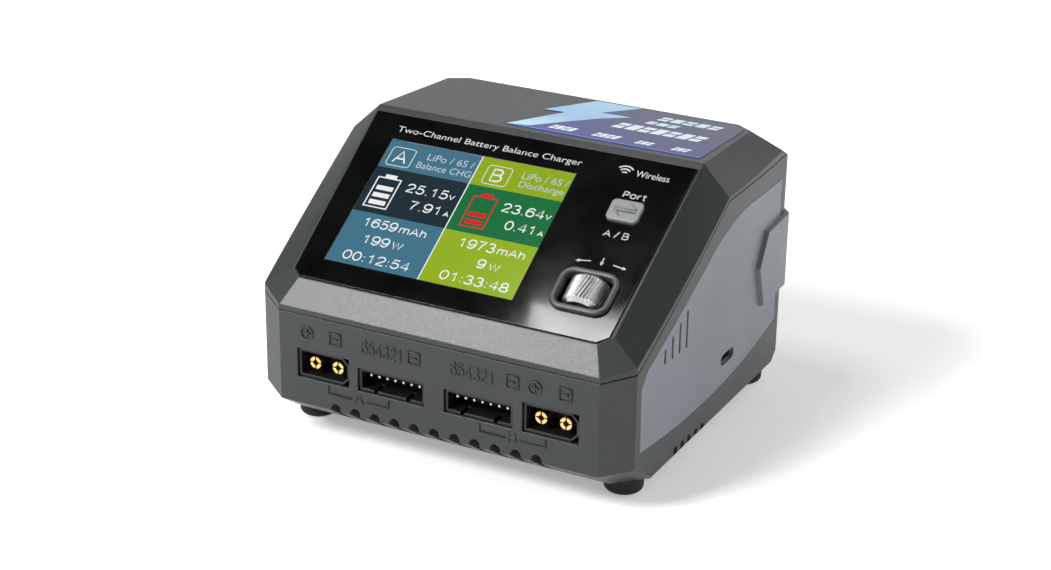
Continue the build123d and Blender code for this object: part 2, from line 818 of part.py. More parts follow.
# ---------------------------------------------------------------- boards
with BuildPart() as main_board:
    with BuildSketch(Plane.XY.offset(main_board_top)):
        with Locations((0, front + 34.0)):
            Rectangle(2 * board_half_width, 49.0)
        with Locations(*main_board_holes):
            Circle(1.1, mode=Mode.SUBTRACT)
        for x in (-xh_x, xh_x):
            with Locations((x, front + port_recess + xh_depth + 0.9 + xh_pin_size / 2)):
                with GridLocations(xh_pitch, 1, xh_pins, 1):
                    Rectangle(xh_pin_size, xh_pin_size, mode=Mode.SUBTRACT)
    extrude(amount=-board_thickness)
write(main_board, "main_board")

with BuildPart() as supply_board:
    with BuildSketch(Plane.XY.offset(main_board_top)):
        with Locations((0, (front + 59.5 + back - 15) / 2)):
            Rectangle(80.0, back - 15 - front - 59.5)
        with Locations(*supply_board_holes):
            Circle(1.1, mode=Mode.SUBTRACT)
    extrude(amount=-board_thickness)
write(supply_board, "supply_board")

# ---------------------------------------------------------------- power parts
board_level = Plane.XY.offset(main_board_top)
supply_y = (front + 59.5 + back - 15) / 2

with BuildPart() as heat_sink:
    with BuildSketch(board_level):
        with Locations((-5, supply_y)):
            Rectangle(30.0, 26.0)
    extrude(amount=4.0)
    with BuildSketch(board_level.offset(4.0)):
        with Locations((-5, supply_y)):
            with GridLocations(3.0, 1, 10, 1):
                Rectangle(1.2, 26.0)
    extrude(amount=16.0)
write(heat_sink, "heat_sink")

with BuildPart() as transformer_core:
    with BuildSketch(board_level):
        with Locations((22, supply_y)):
            Rectangle(20.0, 24.0)
            Rectangle(12.0, 24.5, mode=Mode.SUBTRACT)
    extrude(amount=20.0)
    with BuildSketch(board_level.offset(20.0)):
        with Locations((22, supply_y)):
            Rectangle(20.0, 24.0)
    extrude(amount=3.0)
write(transformer_core, "transformer_core")

with BuildPart() as transformer_winding:
    with BuildSketch(board_level):
        with Locations((22, supply_y)):
            RectangleRounded(12.0, 22.0, 3.0)
    extrude(amount=20.0)
write(transformer_winding, "transformer_winding")

with BuildPart() as supply_capacitors:
    with BuildSketch(board_level):
        with Locations((-29, supply_y - 8.5), (-29, supply_y + 5.0)):
            Circle(6.5)
    extrude(amount=20.0)
    chamfer(supply_capacitors.edges().filter_by(GeomType.CIRCLE).group_by(Axis.Z)[-1], 0.6)
write(supply_capacitors, "supply_capacitors")

with BuildPart() as output_inductors:
    with BuildSketch(board_level):
        with Locations((-22, front + 33), (22, front + 33)):
            Circle(8.0)
            Circle(3.2, mode=Mode.SUBTRACT)
    extrude(amount=8.0)
    fillet(output_inductors.edges().filter_by(GeomType.CIRCLE).group_by(Axis.Z)[-1], 1.4)
write(output_inductors, "output_inductors")

with BuildPart() as output_capacitors:
    with BuildSketch(board_level):
        with Locations((0, front + 29)):
            with GridLocations(9.0, 9.0, 2, 2):
                Circle(4.0)
    extrude(amount=11.0)
write(output_capacitors, "output_capacitors")

with BuildPart() as power_transistors:
    with BuildSketch(board_level):
        with Locations((0, front + 45)):
            with GridLocations(11.0, 1, 4, 1):
                Rectangle(9.0, 6.0)
    extrude(amount=2.3)
write(power_transistors, "power_transistors")

with BuildPart() as controller_chips:
    with BuildSketch(board_level):
        with Locations((-36, front + 35), (36, front + 35)):
            Rectangle(9.0, 9.0)
    extrude(amount=1.4)
write(controller_chips, "controller_chips")

with BuildPart() as buzzer:
    with BuildSketch(board_level):
        with Locations((12, front + 53)):
            Circle(5.0)
    extrude(amount=5.0)
    with BuildSketch(board_level.offset(5.0)):
        with Locations((12, front + 53)):
            Circle(1.0)
    extrude(amount=-3.0, mode=Mode.SUBTRACT)
write(buzzer, "buzzer")

# A flat cable from the main board up to the control board's back.
cable_y = front + 48.5
cable_width = 20.0
cable_thickness = 0.3
cable_x = -32.0
board_back = display.offset(-control_board_depth - board_thickness)
cable_top = board_back.origin.Z + (cable_y + 8 - board_back.origin.Y) * tan(radians(slope_angle))
with BuildPart() as display_cable:
    with BuildSketch(Plane.YZ.offset(cable_x)):
        with BuildLine():
            Polyline(
                (cable_y, main_board_top),
                (cable_y, main_board_top + 12),
                (cable_y + 8, main_board_top + 18),
                (cable_y + 8, cable_top),
                (cable_y + 8 - cable_thickness, cable_top - cable_thickness * 0.65),
                (cable_y + 8 - cable_thickness, main_board_top + 18.15),
                (cable_y - cable_thickness, main_board_top + 12.15),
                (cable_y - cable_thickness, main_board_top),
                close=True,
            )
        make_face()
    extrude(amount=cable_width / 2, both=True)
write(display_cable, "display_cable")

# ---------------------------------------------------------------- fan
fan_plane = Plane(origin=(0, back - wall, rear_centre_z), x_dir=(1, 0, 0), z_dir=(0, -1, 0))
fan_bore = fan_size / 2 - 1.2
hub_radius = 9.0
shaft_diameter = 2.0
with BuildPart() as fan_frame:
    with BuildSketch(fan_plane):
        RectangleRounded(fan_size, fan_size, 2.5)
        Circle(fan_bore, mode=Mode.SUBTRACT)
        with GridLocations(fan_screw_pitch, fan_screw_pitch, 2, 2):
            Circle(1.3, mode=Mode.SUBTRACT)
    extrude(amount=fan_depth)
    with BuildSketch(fan_plane.offset(fan_depth)):
        Circle(hub_radius)
        with PolarLocations(0, 4, start_angle=45):
            Rectangle(fan_bore + 0.5, 2.0, align=(Align.MIN, Align.CENTER))
    extrude(amount=-1.6)
    with BuildSketch(fan_plane.offset(fan_depth - 1.6)):
        Circle(2.6)
    extrude(amount=-2.0)
    with BuildSketch(fan_plane.offset(fan_depth)):
        Circle(shaft_diameter / 2 + running_clearance)
    extrude(amount=-3.6, mode=Mode.SUBTRACT)
write(fan_frame, "fan_frame")

blade_reach = fan_bore - 0.9
with BuildPart() as fan_rotor:
    with BuildSketch(fan_plane.offset(0.8)):
        Circle(hub_radius)
    extrude(amount=fan_depth - 3.0)
    with BuildSketch(fan_plane.offset(2.0)):
        Circle(hub_radius - 1.0)
    extrude(amount=fan_depth, mode=Mode.SUBTRACT)
    for location in PolarLocations(0, fan_blades):
        blade = fan_plane * location * Pos(blade_reach / 2 + 4, 0, 4.4) * Rot(38, 0, 0)
        with Locations(blade):
            Box(blade_reach - 8, 8.4, 0.9)
    with BuildSketch(fan_plane.offset(0.8)):
        Circle(blade_reach)
    extrude(amount=7.2, mode=Mode.INTERSECT)
    with BuildSketch(fan_plane.offset(2.0)):
        Circle(hub_radius - 1.0)
    extrude(amount=fan_depth, mode=Mode.SUBTRACT)
    with BuildSketch(fan_plane.offset(1.0)):
        Circle(shaft_diameter / 2)
    extrude(amount=fan_depth - 1.2)
write(fan_rotor, "fan_rotor")

# ---------------------------------------------------------------- rear panel
panel_plane = Plane(origin=(0, back - gap, rear_centre_z), x_dir=(-1, 0, 0), z_dir=(0, 1, 0))
inlet_y = inlet_height - rear_centre_z
inlet_body = (21.0, 12.0)
inlet_flange = (25.0, 16.0)
inlet_pin_pitch = 8.6
flange_thickness = rear_stand + gap
inlet_pin_diameter = 2.4
with BuildPart() as rear_panel:
    with BuildSketch(panel_plane):
        Rectangle(rear_opening_width - 0.2, rear_opening_height - 0.2)
        with GridLocations(*rear_screw_pitch, 2, 2):
            Circle(1.3, mode=Mode.SUBTRACT)
        with Locations((-inlet_x, inlet_y)):
            Rectangle(inlet_body[0] + 0.2, inlet_body[1] + 0.2, mode=Mode.SUBTRACT)
        with Locations((inlet_x, inlet_y)):
            Rectangle(xt_width + 0.3, xt_height + 0.3, mode=Mode.SUBTRACT)
        with GridLocations(fan_screw_pitch, fan_screw_pitch, 2, 2):
            Circle(1.3, mode=Mode.SUBTRACT)
    extrude(amount=-(rear_panel_thickness - gap))
    # The fan grille is rows of slots, left out over the corners.
    with BuildSketch(panel_plane):
        with GridLocations(3.6, 1, 9, 1):
            SlotOverall(34.0, 2.0, rotation=90)
        Rectangle(fan_size, 1.6, mode=Mode.SUBTRACT)
        Circle(fan_bore - 1, mode=Mode.INTERSECT)
    extrude(amount=-(rear_panel_thickness - gap), mode=Mode.SUBTRACT)
write(rear_panel, "rear_panel")

with BuildPart() as mains_inlet:
    with BuildSketch(panel_plane):
        with Locations((-inlet_x, inlet_y)):
            RectangleRounded(*inlet_flange, 1.5)
    extrude(amount=flange_thickness)
    with BuildSketch(panel_plane):
        with Locations((-inlet_x, inlet_y)):
            Rectangle(*inlet_body)
    extrude(amount=-14.0)
    with BuildSketch(panel_plane.offset(flange_thickness)):
        with Locations((-inlet_x, inlet_y)):
            with GridLocations(inlet_pin_pitch, 1, 2, 1):
                Circle(4.1)
            Rectangle(inlet_pin_pitch, 5.4)
    extrude(amount=-12.2, mode=Mode.SUBTRACT)
    with BuildSketch(panel_plane):
        with Locations((-inlet_x, inlet_y)):
            with GridLocations(inlet_pin_pitch, 1, 2, 1):
                Circle(inlet_pin_diameter / 2)
    extrude(amount=-14.0, mode=Mode.SUBTRACT)
write(mains_inlet, "mains_inlet")

with BuildPart() as mains_pins:
    with BuildSketch(panel_plane.offset(-1.0)):
        with Locations((-inlet_x, inlet_y)):
            with GridLocations(inlet_pin_pitch, 1, 2, 1):
                Circle(inlet_pin_diameter / 2)
    extrude(amount=-16.0)
    tips = mains_pins.edges().filter_by(GeomType.CIRCLE).group_by(Axis.Y)[-1]
    fillet(tips, 0.7)
write(mains_pins, "mains_pins")

power_mouth = Plane(
    origin=(-inlet_x, back + 0.5, inlet_height),
    x_dir=(-1, 0, 0),
    z_dir=(0, 1, 0),
)
write(socket_shell(power_mouth), "power_socket")
write(socket_pins(power_mouth), "power_pins")

# ---------------------------------------------------------------- screws
with BuildPart() as rear_panel_screws:
    with BuildSketch(panel_plane):
        with GridLocations(*rear_screw_pitch, 2, 2):
            Circle(2.2)
    extrude(amount=flange_thickness)
    heads = rear_panel_screws.edges().filter_by(GeomType.CIRCLE).group_by(Axis.Y)[-1]
    fillet(heads, 0.7)
    with BuildSketch(panel_plane.offset(flange_thickness)):
        with GridLocations(*rear_screw_pitch, 2, 2):
            Rectangle(2.4, 0.5)
            Rectangle(0.5, 2.4)
    extrude(amount=-0.7, mode=Mode.SUBTRACT)
    with BuildSketch(panel_plane):
        with GridLocations(*rear_screw_pitch, 2, 2):
            Circle(1.0)
    extrude(amount=-(wall + 1))
write(rear_panel_screws, "rear_panel_screws")

with BuildPart() as fan_screws:
    with BuildSketch(panel_plane):
        with GridLocations(fan_screw_pitch, fan_screw_pitch, 2, 2):
            Circle(2.4)
    extrude(amount=flange_thickness)
    heads = fan_screws.edges().filter_by(GeomType.CIRCLE).group_by(Axis.Y)[-1]
    fillet(heads, 0.7)
    with BuildSketch(panel_plane.offset(flange_thickness)):
        with GridLocations(fan_screw_pitch, fan_screw_pitch, 2, 2):
            Rectangle(2.4, 0.5)
            Rectangle(0.5, 2.4)
    extrude(amount=-0.7, mode=Mode.SUBTRACT)
    with BuildSketch(panel_plane):
        with GridLocations(fan_screw_pitch, fan_screw_pitch, 2, 2):
            Circle(1.3)
    extrude(amount=-10.0)
write(fan_screws, "fan_screws")

with BuildPart() as case_screws:
    with BuildSketch(Plane.XY.offset(screw_seat)):
        with Locations(*post_places):
            Circle(2.75)
    extrude(amount=-2.4)
    with BuildSketch(Plane.XY.offset(screw_seat - 2.4)):
        with Locations(*post_places):
            RegularPolygon(1.3, 6)
    extrude(amount=1.4, mode=Mode.SUBTRACT)
    with BuildSketch(Plane.XY.offset(screw_seat)):
        with Locations(*post_places):
            Circle(1.25)
    extrude(amount=post_meet - screw_seat + 8)
write(case_screws, "case_screws")

with BuildPart() as board_screws:
    with BuildSketch(board_level):
        with Locations(*main_board_holes, *supply_board_holes):
            Circle(2.0)
    extrude(amount=1.3)
    with BuildSketch(board_level.offset(1.3)):
        with Locations(*main_board_holes, *supply_board_holes):
            RegularPolygon(0.9, 6)
    extrude(amount=-0.8, mode=Mode.SUBTRACT)
    with BuildSketch(board_level):
        with Locations(*main_board_holes, *supply_board_holes):
            Circle(0.8)
    extrude(amount=-(board_thickness + 5))
write(board_screws, "board_screws")

with BuildPart() as control_board_screws:
    with BuildSketch(board_back):
        with Locations(*control_board_holes):
            Circle(2.0)
    extrude(amount=-1.3)
    with BuildSketch(board_back.offset(-1.3)):
        with Locations(*control_board_holes):
            RegularPolygon(0.9, 6)
    extrude(amount=0.8, mode=Mode.SUBTRACT)
    with BuildSketch(board_back):
        with Locations(*control_board_holes):
            Circle(0.8)
    extrude(amount=board_thickness + 5)
write(control_board_screws, "control_board_screws")

# ---------------------------------------------------------------- feet
foot_names = ["front_right", "back_right", "front_left", "back_left"]
for foot_name, place in zip(foot_names, foot_places):
    with BuildPart() as foot:
        with BuildSketch(Plane.XY):
            with Locations(place):
                Circle(foot_diameter / 2)
        extrude(amount=foot_height)
        fillet(foot.edges().group_by(Axis.Z)[0], 1.6)
        with BuildSketch(Plane.XY.offset(foot_height)):
            with Locations(place):
                Circle(2.0)
        extrude(amount=1.5)
    write(foot, f"foot_{foot_name}")

# ---------------------------------------------------------------- top label
top_plane = Plane(
    origin=(0, front + top_front_in, case_top),
    x_dir=(1, 0, 0),
    z_dir=Vector(0, top_fall, case_depth - top_front_in - back_bevel_in),
)
label_depth = case_depth - top_front_in - back_bevel_in
with BuildPart() as top_label:
    with BuildSketch(top_plane):
        with BuildLine():
            Polyline(
                (-11.5, 3.2),
                (frame_top.X - 2.6, 3.2),
                (frame_top.X - 3.2, label_depth - 5.0),
                (frame_top.X - 7.6, label_depth - 1.2),
                (0.0, label_depth - 1.2),
                (-9.2, label_depth * 0.55),
                (-2.6, label_depth * 0.57),
                close=True,
            )
        make_face()
    extrude(amount=0.15)
write(top_label, "top_label")
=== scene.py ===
"""Balance battery charger: its finishes, lit screen, markings, knurled roller and studio."""

from __future__ import annotations

import logging
import math
from dataclasses import dataclass
from enum import Enum

import bmesh
import bpy
from mathutils import Matrix, Vector

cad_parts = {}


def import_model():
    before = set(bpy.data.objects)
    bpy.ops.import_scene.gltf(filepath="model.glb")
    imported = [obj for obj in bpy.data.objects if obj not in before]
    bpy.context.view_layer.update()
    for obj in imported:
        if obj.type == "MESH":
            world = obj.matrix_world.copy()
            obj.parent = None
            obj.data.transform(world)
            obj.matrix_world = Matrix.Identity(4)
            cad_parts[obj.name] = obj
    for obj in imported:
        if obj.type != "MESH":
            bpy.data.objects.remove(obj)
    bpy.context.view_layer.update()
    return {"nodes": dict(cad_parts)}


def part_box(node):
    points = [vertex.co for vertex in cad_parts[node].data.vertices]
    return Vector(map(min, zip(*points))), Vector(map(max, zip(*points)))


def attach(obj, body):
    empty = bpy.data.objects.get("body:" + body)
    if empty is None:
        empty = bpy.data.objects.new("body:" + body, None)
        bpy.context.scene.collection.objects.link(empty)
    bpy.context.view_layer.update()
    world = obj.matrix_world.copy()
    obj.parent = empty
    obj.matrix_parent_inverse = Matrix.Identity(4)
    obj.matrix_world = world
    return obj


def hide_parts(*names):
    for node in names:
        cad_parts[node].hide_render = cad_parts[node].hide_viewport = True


MM = 0.001
LOG = logging.getLogger("charger")

Colour = tuple[float, float, float, float]
Outline = list[tuple[float, float]]


def linear(code: str) -> Colour:
    """Turns an sRGB hex colour to linear.

    Args:
        code: six hex digits with a leading hash.

    Returns:
        Red, green, blue and an alpha of one.
    """
    parts = [int(code[i : i + 2], 16) / 255 for i in (1, 3, 5)]
    low = [p / 12.92 if p <= 0.04045 else ((p + 0.055) / 1.055) ** 2.4 for p in parts]
    return (low[0], low[1], low[2], 1.0)


def add_node(
    tree: bpy.types.NodeTree,
    kind: str,
    settings: dict[str, object] | None = None,
    links: dict[str, bpy.types.NodeSocket] | None = None,
) -> bpy.types.Node:
    """Adds one shader node with its settings and links.

    Args:
        tree: the node tree that gets the node.
        kind: the node's type name without its ShaderNode start.
        settings: values by socket name, or by property name where no socket has it.
        links: the output that feeds each named input.

    Returns:
        The new node.
    """
    node = tree.nodes.new("ShaderNode" + kind)
    for name, value in (settings or {}).items():
        if name in node.inputs:
            node.inputs[name].default_value = value
        else:
            setattr(node, name, value)
    for name, source in (links or {}).items():
        tree.links.new(source, node.inputs[name])
    return node


def new_material(name: str) -> tuple[bpy.types.Material, bpy.types.NodeTree]:
    """Makes an empty node material.

    Args:
        name: the finish's name.

    Returns:
        The material and its cleared node tree.
    """
    material = bpy.data.materials.new(name)
    material.use_nodes = True
    material.node_tree.nodes.clear()
    return material, material.node_tree


def colour_steps(
    tree: bpy.types.NodeTree, amount: bpy.types.NodeSocket, steps: list[tuple[float, str]]
) -> bpy.types.NodeSocket:
    """Spreads colours over a pattern's value.

    Args:
        tree: the material's node tree.
        amount: the pattern's output, from 0 to 1.
        steps: each place on the ramp with its hex colour, in rising order.

    Returns:
        The ramp's colour output.
    """
    ramp = add_node(tree, "ValToRGB", links={"Fac": amount})
    band = ramp.color_ramp
    while len(band.elements) < len(steps):
        band.elements.new(0.5)
    for element, (place, code) in zip(band.elements, steps):
        element.position = place
        element.color = linear(code)
    return ramp.outputs["Color"]


def surfaced(
    material: bpy.types.Material,
    tree: bpy.types.NodeTree,
    settings: dict[str, object],
    links: dict[str, bpy.types.NodeSocket],
) -> bpy.types.Material:
    """Closes a material with its surface shader.

    Args:
        material: the material that is being built.
        tree: its node tree.
        settings: the shader's constants.
        links: the outputs that feed the shader.

    Returns:
        The same material.
    """
    shader = add_node(tree, "BsdfPrincipled", settings, links)
    add_node(tree, "OutputMaterial", links={"Surface": shader.outputs["BSDF"]})
    return material


def new_object(name: str, data: bpy.types.ID) -> bpy.types.Object:
    """Makes an object of some data and puts it in the scene.

    Args:
        name: the object's name.
        data: its mesh, curve, text, light or camera.

    Returns:
        The object.
    """
    made = bpy.data.objects.new(name, data)
    bpy.context.scene.collection.objects.link(made)
    return made


class Grain(Enum):
    """How a moulded plastic's surface was left by its mould."""

    SPARK_ERODED = "spark_eroded"
    SATIN = "satin"
    POLISHED = "polished"


@dataclass(frozen=True)
class MouldedPlastic:
    """Moulded plastic: its tool's texture breaks up the highlight, and its edges are slightly rounded."""

    name: str
    colour: str
    worn_colour: str
    roughness: float
    grain: Grain = Grain.SATIN
    grain_mm: float = 0.5
    depth_mm: float = 0.02
    edge_mm: float = 0.25
    ior: float = 1.53
    sheen_level: float = 0.5

    def material(self) -> bpy.types.Material:
        """Builds the plastic.

        Returns:
            The node material.
        """
        material, tree = new_material(self.name)
        place = add_node(tree, "TexCoord").outputs["Object"]
        # The grain's blobs are one grain width across.
        speck = add_node(
            tree,
            "TexNoise",
            {"Scale": 1 / (self.grain_mm * MM), "Detail": 3.0, "Roughness": 0.6},
            {"Vector": place},
        )
        # Handling and flow in the mould shift the tone over about 30 mm.
        cloud = add_node(
            tree, "TexNoise", {"Scale": 1 / (30 * MM), "Detail": 4.0, "Roughness": 0.55}, {"Vector": place}
        )
        both = add_node(
            tree,
            "Mix",
            {"data_type": "FLOAT", "Factor": 0.35},
            {"A": cloud.outputs["Fac"], "B": speck.outputs["Fac"]},
        )
        tone = colour_steps(tree, both.outputs["Result"], [(0.32, self.colour), (0.68, self.worn_colour)])
        gloss = add_node(
            tree,
            "MapRange",
            {
                "From Min": 0.3,
                "From Max": 0.7,
                "To Min": self.roughness - 0.05,
                "To Max": self.roughness + 0.06,
            },
            {"Value": speck.outputs["Fac"]},
        )
        rounded = add_node(tree, "Bevel", {"samples": 4, "Radius": self.edge_mm * MM})
        strength = {Grain.SPARK_ERODED: 0.85, Grain.SATIN: 0.35, Grain.POLISHED: 0.1}[self.grain]
        relief = add_node(
            tree,
            "Bump",
            {"Strength": strength, "Distance": self.depth_mm * MM},
            {"Height": speck.outputs["Fac"], "Normal": rounded.outputs["Normal"]},
        )
        return surfaced(
            material,
            tree,
            {"IOR": self.ior, "Specular IOR Level": self.sheen_level},
            {
                "Base Color": tone,
                "Roughness": gloss.outputs["Result"],
                "Normal": relief.outputs["Normal"],
            },
        )


@dataclass(frozen=True)
class PaintedGlass:
    """Cover glass, ground flat and painted black behind: a sharp dark mirror with faint wiping marks."""

    name: str
    colour: str
    roughness: float

    def material(self) -> bpy.types.Material:
        """Builds the glass.

        Returns:
            The node material.
        """
        material, tree = new_material(self.name)
        place = add_node(tree, "TexCoord").outputs["Object"]
        # Wiping marks are streaks about 12 mm wide.
        wiped = add_node(tree, "TexNoise", {"Scale": 1 / (12 * MM), "Detail": 5.0}, {"Vector": place})
        gloss = add_node(
            tree,
            "MapRange",
            {"From Min": 0.35, "From Max": 0.75, "To Min": self.roughness, "To Max": self.roughness + 0.05},
            {"Value": wiped.outputs["Fac"]},
        )
        tone = colour_steps(tree, wiped.outputs["Fac"], [(0.3, self.colour), (0.8, "#101212")])
        edge = add_node(tree, "Bevel", {"samples": 4, "Radius": 0.25 * MM})
        return surfaced(
            material,
            tree,
            {"IOR": 1.52, "Coat Weight": 0.3, "Coat Roughness": 0.03},
            {
                "Base Color": tone,
                "Roughness": gloss.outputs["Result"],
                "Normal": edge.outputs["Normal"],
            },
        )


@dataclass(frozen=True)
class LitPixels:
    """A colour on the lit liquid-crystal screen: even light, with the cell grid just showing."""

    name: str
    colour: str
    light: float = 0.8

    def material(self) -> bpy.types.Material:
        """Builds the lit colour.

        Returns:
            The node material.
        """
        material, tree = new_material(self.name)
        place = add_node(tree, "TexCoord").outputs["Object"]
        # The cells stand 0.18 mm apart, drawn as slight bands.
        cells = add_node(
            tree,
            "TexWave",
            {"Scale": math.tau / 20 / (0.18 * MM), "Distortion": 0.0, "bands_direction": "X"},
            {"Vector": place},
        )
        tone = add_node(
            tree,
            "Mix",
            {"data_type": "RGBA", "Factor": 0.04, "blend_type": "MULTIPLY"},
        )
        tone.inputs[6].default_value = linear(self.colour)
        tree.links.new(cells.outputs["Color"], tone.inputs[7])
        return surfaced(
            material,
            tree,
            {
                "Roughness": 0.09,
                "IOR": 1.5,
                "Base Color": linear("#0a0a0a"),
                "Emission Strength": self.light,
            },
            {"Emission Color": tone.outputs[2]},
        )


class Working(Enum):
    """How a metal part's surface was finished."""

    PLATED = "plated"
    EXTRUDED = "extruded"


@dataclass(frozen=True)
class Metal:
    """Worked metal: its tool marks stretch or soften the highlight."""

    name: str
    colour: str
    shade: str
    roughness: float
    working: Working = Working.PLATED
    mark_mm: float = 0.25
    edge_mm: float = 0.1

    def material(self) -> bpy.types.Material:
        """Builds the metal.

        Returns:
            The node material.
        """
        material, tree = new_material(self.name)
        place = add_node(tree, "TexCoord").outputs["Object"]
        stretch = {Working.PLATED: (1.0, 1.0, 1.0), Working.EXTRUDED: (1.0, 0.06, 1.0)}[self.working]
        along = add_node(tree, "Mapping", {"Scale": stretch}, {"Vector": place})
        marks = add_node(
            tree,
            "TexNoise",
            {"Scale": 1 / (self.mark_mm * MM), "Detail": 2.0},
            {"Vector": along.outputs["Vector"]},
        )
        tone = colour_steps(tree, marks.outputs["Fac"], [(0.3, self.shade), (0.7, self.colour)])
        gloss = add_node(
            tree,
            "MapRange",
            {
                "From Min": 0.3,
                "From Max": 0.7,
                "To Min": self.roughness - 0.06,
                "To Max": self.roughness + 0.08,
            },
            {"Value": marks.outputs["Fac"]},
        )
        edge = add_node(tree, "Bevel", {"samples": 4, "Radius": self.edge_mm * MM})
        relief = add_node(
            tree,
            "Bump",
            {"Strength": 0.3, "Distance": 0.01 * MM},
            {"Height": marks.outputs["Fac"], "Normal": edge.outputs["Normal"]},
        )
        return surfaced(
            material,
            tree,
            {"Metallic": 1.0},
            {
                "Base Color": tone,
                "Roughness": gloss.outputs["Result"],
                "Normal": relief.outputs["Normal"],
            },
        )


@dataclass(frozen=True)
class SolderMask:
    """Glass-fibre board under green solder mask: copper tracks show as paler lines."""

    name: str
    colour: str
    track_colour: str
    track_mm: float = 2.4

    def material(self) -> bpy.types.Material:
        """Builds the board's surface.

        Returns:
            The node material.
        """
        material, tree = new_material(self.name)
        place = add_node(tree, "TexCoord").outputs["Object"]
        tracks = add_node(
            tree,
            "TexVoronoi",
            {"feature": "DISTANCE_TO_EDGE", "distance": "MANHATTAN", "Scale": 1 / (self.track_mm * MM)},
            {"Vector": place},
        )
        tone = colour_steps(
            tree,
            tracks.outputs["Distance"],
            [(0.03, self.track_colour), (0.09, self.colour)],
        )
        relief = add_node(
            tree, "Bump", {"Strength": 0.3, "Distance": 0.04 * MM}, {"Height": tracks.outputs["Distance"]}
        )
        return surfaced(
            material,
            tree,
            {"Roughness": 0.35, "IOR": 1.5},
            {"Base Color": tone, "Normal": relief.outputs["Normal"]},
        )


@dataclass(frozen=True)
class PrintedFilm:
    """Polyester label film, printed and laminated: colours run into each other under a smooth sheen."""

    name: str
    front_colour: str
    middle_colour: str
    back_colour: str
    blend_mm: float = 60.0
    slant: float = 0.35

    def material(self) -> bpy.types.Material:
        """Builds the printed film.

        Returns:
            The node material.
        """
        material, tree = new_material(self.name)
        place = add_node(tree, "TexCoord").outputs["Object"]
        low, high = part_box("top_label")
        depth = high.y - low.y
        shifted = add_node(
            tree,
            "Mapping",
            {
                "Location": (-self.slant * low.x / depth, -low.y / depth, 0.0),
                "Scale": (self.slant / depth, 1 / depth, 0.0),
            },
            {"Vector": place},
        )
        split = add_node(tree, "SeparateXYZ", links={"Vector": shifted.outputs["Vector"]})
        print_blend = add_node(
            tree, "TexNoise", {"Scale": 1 / (self.blend_mm * MM), "Detail": 6.0}, {"Vector": place}
        )
        total = add_node(
            tree,
            "Math",
            {"operation": "ADD"},
        )
        tree.links.new(split.outputs["X"], total.inputs[0])
        tree.links.new(split.outputs["Y"], total.inputs[1])
        swirled = add_node(
            tree,
            "Mix",
            {"data_type": "FLOAT", "Factor": 0.45},
            {"A": total.outputs["Value"], "B": print_blend.outputs["Fac"]},
        )
        tone = colour_steps(
            tree,
            swirled.outputs["Result"],
            [(0.2, self.front_colour), (0.5, self.middle_colour), (0.85, self.back_colour)],
        )
        return surfaced(
            material,
            tree,
            {"Roughness": 0.42, "IOR": 1.5, "Coat Weight": 0.1, "Coat Roughness": 0.2},
            {"Base Color": tone},
        )


@dataclass(frozen=True)
class WoundCopper:
    """Enamelled copper wire in close turns: rows of small warm highlights, with painted shade darkening the
    grooves between turns.
    """

    name: str
    colour: str
    painted_groove_shade: str
    turn_mm: float = 0.9

    def material(self) -> bpy.types.Material:
        """Builds the winding.

        Returns:
            The node material.
        """
        material, tree = new_material(self.name)
        place = add_node(tree, "TexCoord").outputs["Object"]
        turns = add_node(
            tree,
            "TexWave",
            {"Scale": math.tau / 20 / (self.turn_mm * MM), "bands_direction": "Z"},
            {"Vector": place},
        )
        # The grooves between turns get a darker colour: painted shade, not the wire's own colour.
        tone = colour_steps(tree, turns.outputs["Fac"], [(0.1, self.painted_groove_shade), (0.5, self.colour)])
        relief = add_node(
            tree, "Bump", {"Strength": 0.8, "Distance": 0.3 * MM}, {"Height": turns.outputs["Fac"]}
        )
        return surfaced(
            material,
            tree,
            {"Metallic": 1.0, "Roughness": 0.3},
            {"Base Color": tone, "Normal": relief.outputs["Normal"]},
        )


@dataclass(frozen=True)
class Face:
    """A flat face of the charger, with places on it in millimetres."""

    corner: Vector
    across: Vector
    up: Vector

    def place(self, across_mm: float = 0.0, up_mm: float = 0.0, out_mm: float = 0.0) -> Matrix:
        """Gives the frame of a place on the face.

        Args:
            across_mm: distance across from the corner.
            up_mm: distance up the face from the corner.
            out_mm: distance out of the face.

        Returns:
            A matrix with X across, Y up and Z out of the face.
        """
        out = self.across.cross(self.up)
        spot = self.corner + (self.across * across_mm + self.up * up_mm + out * out_mm) * MM
        turn = Matrix((self.across, self.up, out)).transposed()
        return Matrix.Translation(spot) @ turn.to_4x4()


def settle(
    piece: bpy.types.Object, body: str, material: bpy.types.Material
) -> bpy.types.Object:
    """Dresses a new piece and hangs it on its body.

    Args:
        piece: the new piece.
        body: the body that it rides on.
        material: its finish.

    Returns:
        The same piece.
    """
    piece.data.materials.clear()
    piece.data.materials.append(material)
    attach(piece, body)
    LOG.info("%s rides on %s", piece.name, body)
    return piece


def mesh_piece(name: str, source: bpy.types.Object, move: Matrix) -> bpy.types.Object:
    """Turns a curve or text to a mesh piece in the charger's frame and removes the source.

    Args:
        name: the piece's name.
        source: the curve or text object, already in the scene.
        move: the frame that the source's own coordinates are set into.

    Returns:
        The mesh piece.
    """
    bpy.context.view_layer.update()
    mesh = bpy.data.meshes.new_from_object(source.evaluated_get(bpy.context.evaluated_depsgraph_get()))
    bpy.data.objects.remove(source)
    mesh.name = name
    mesh.transform(move)
    piece = new_object(name, mesh)
    return piece


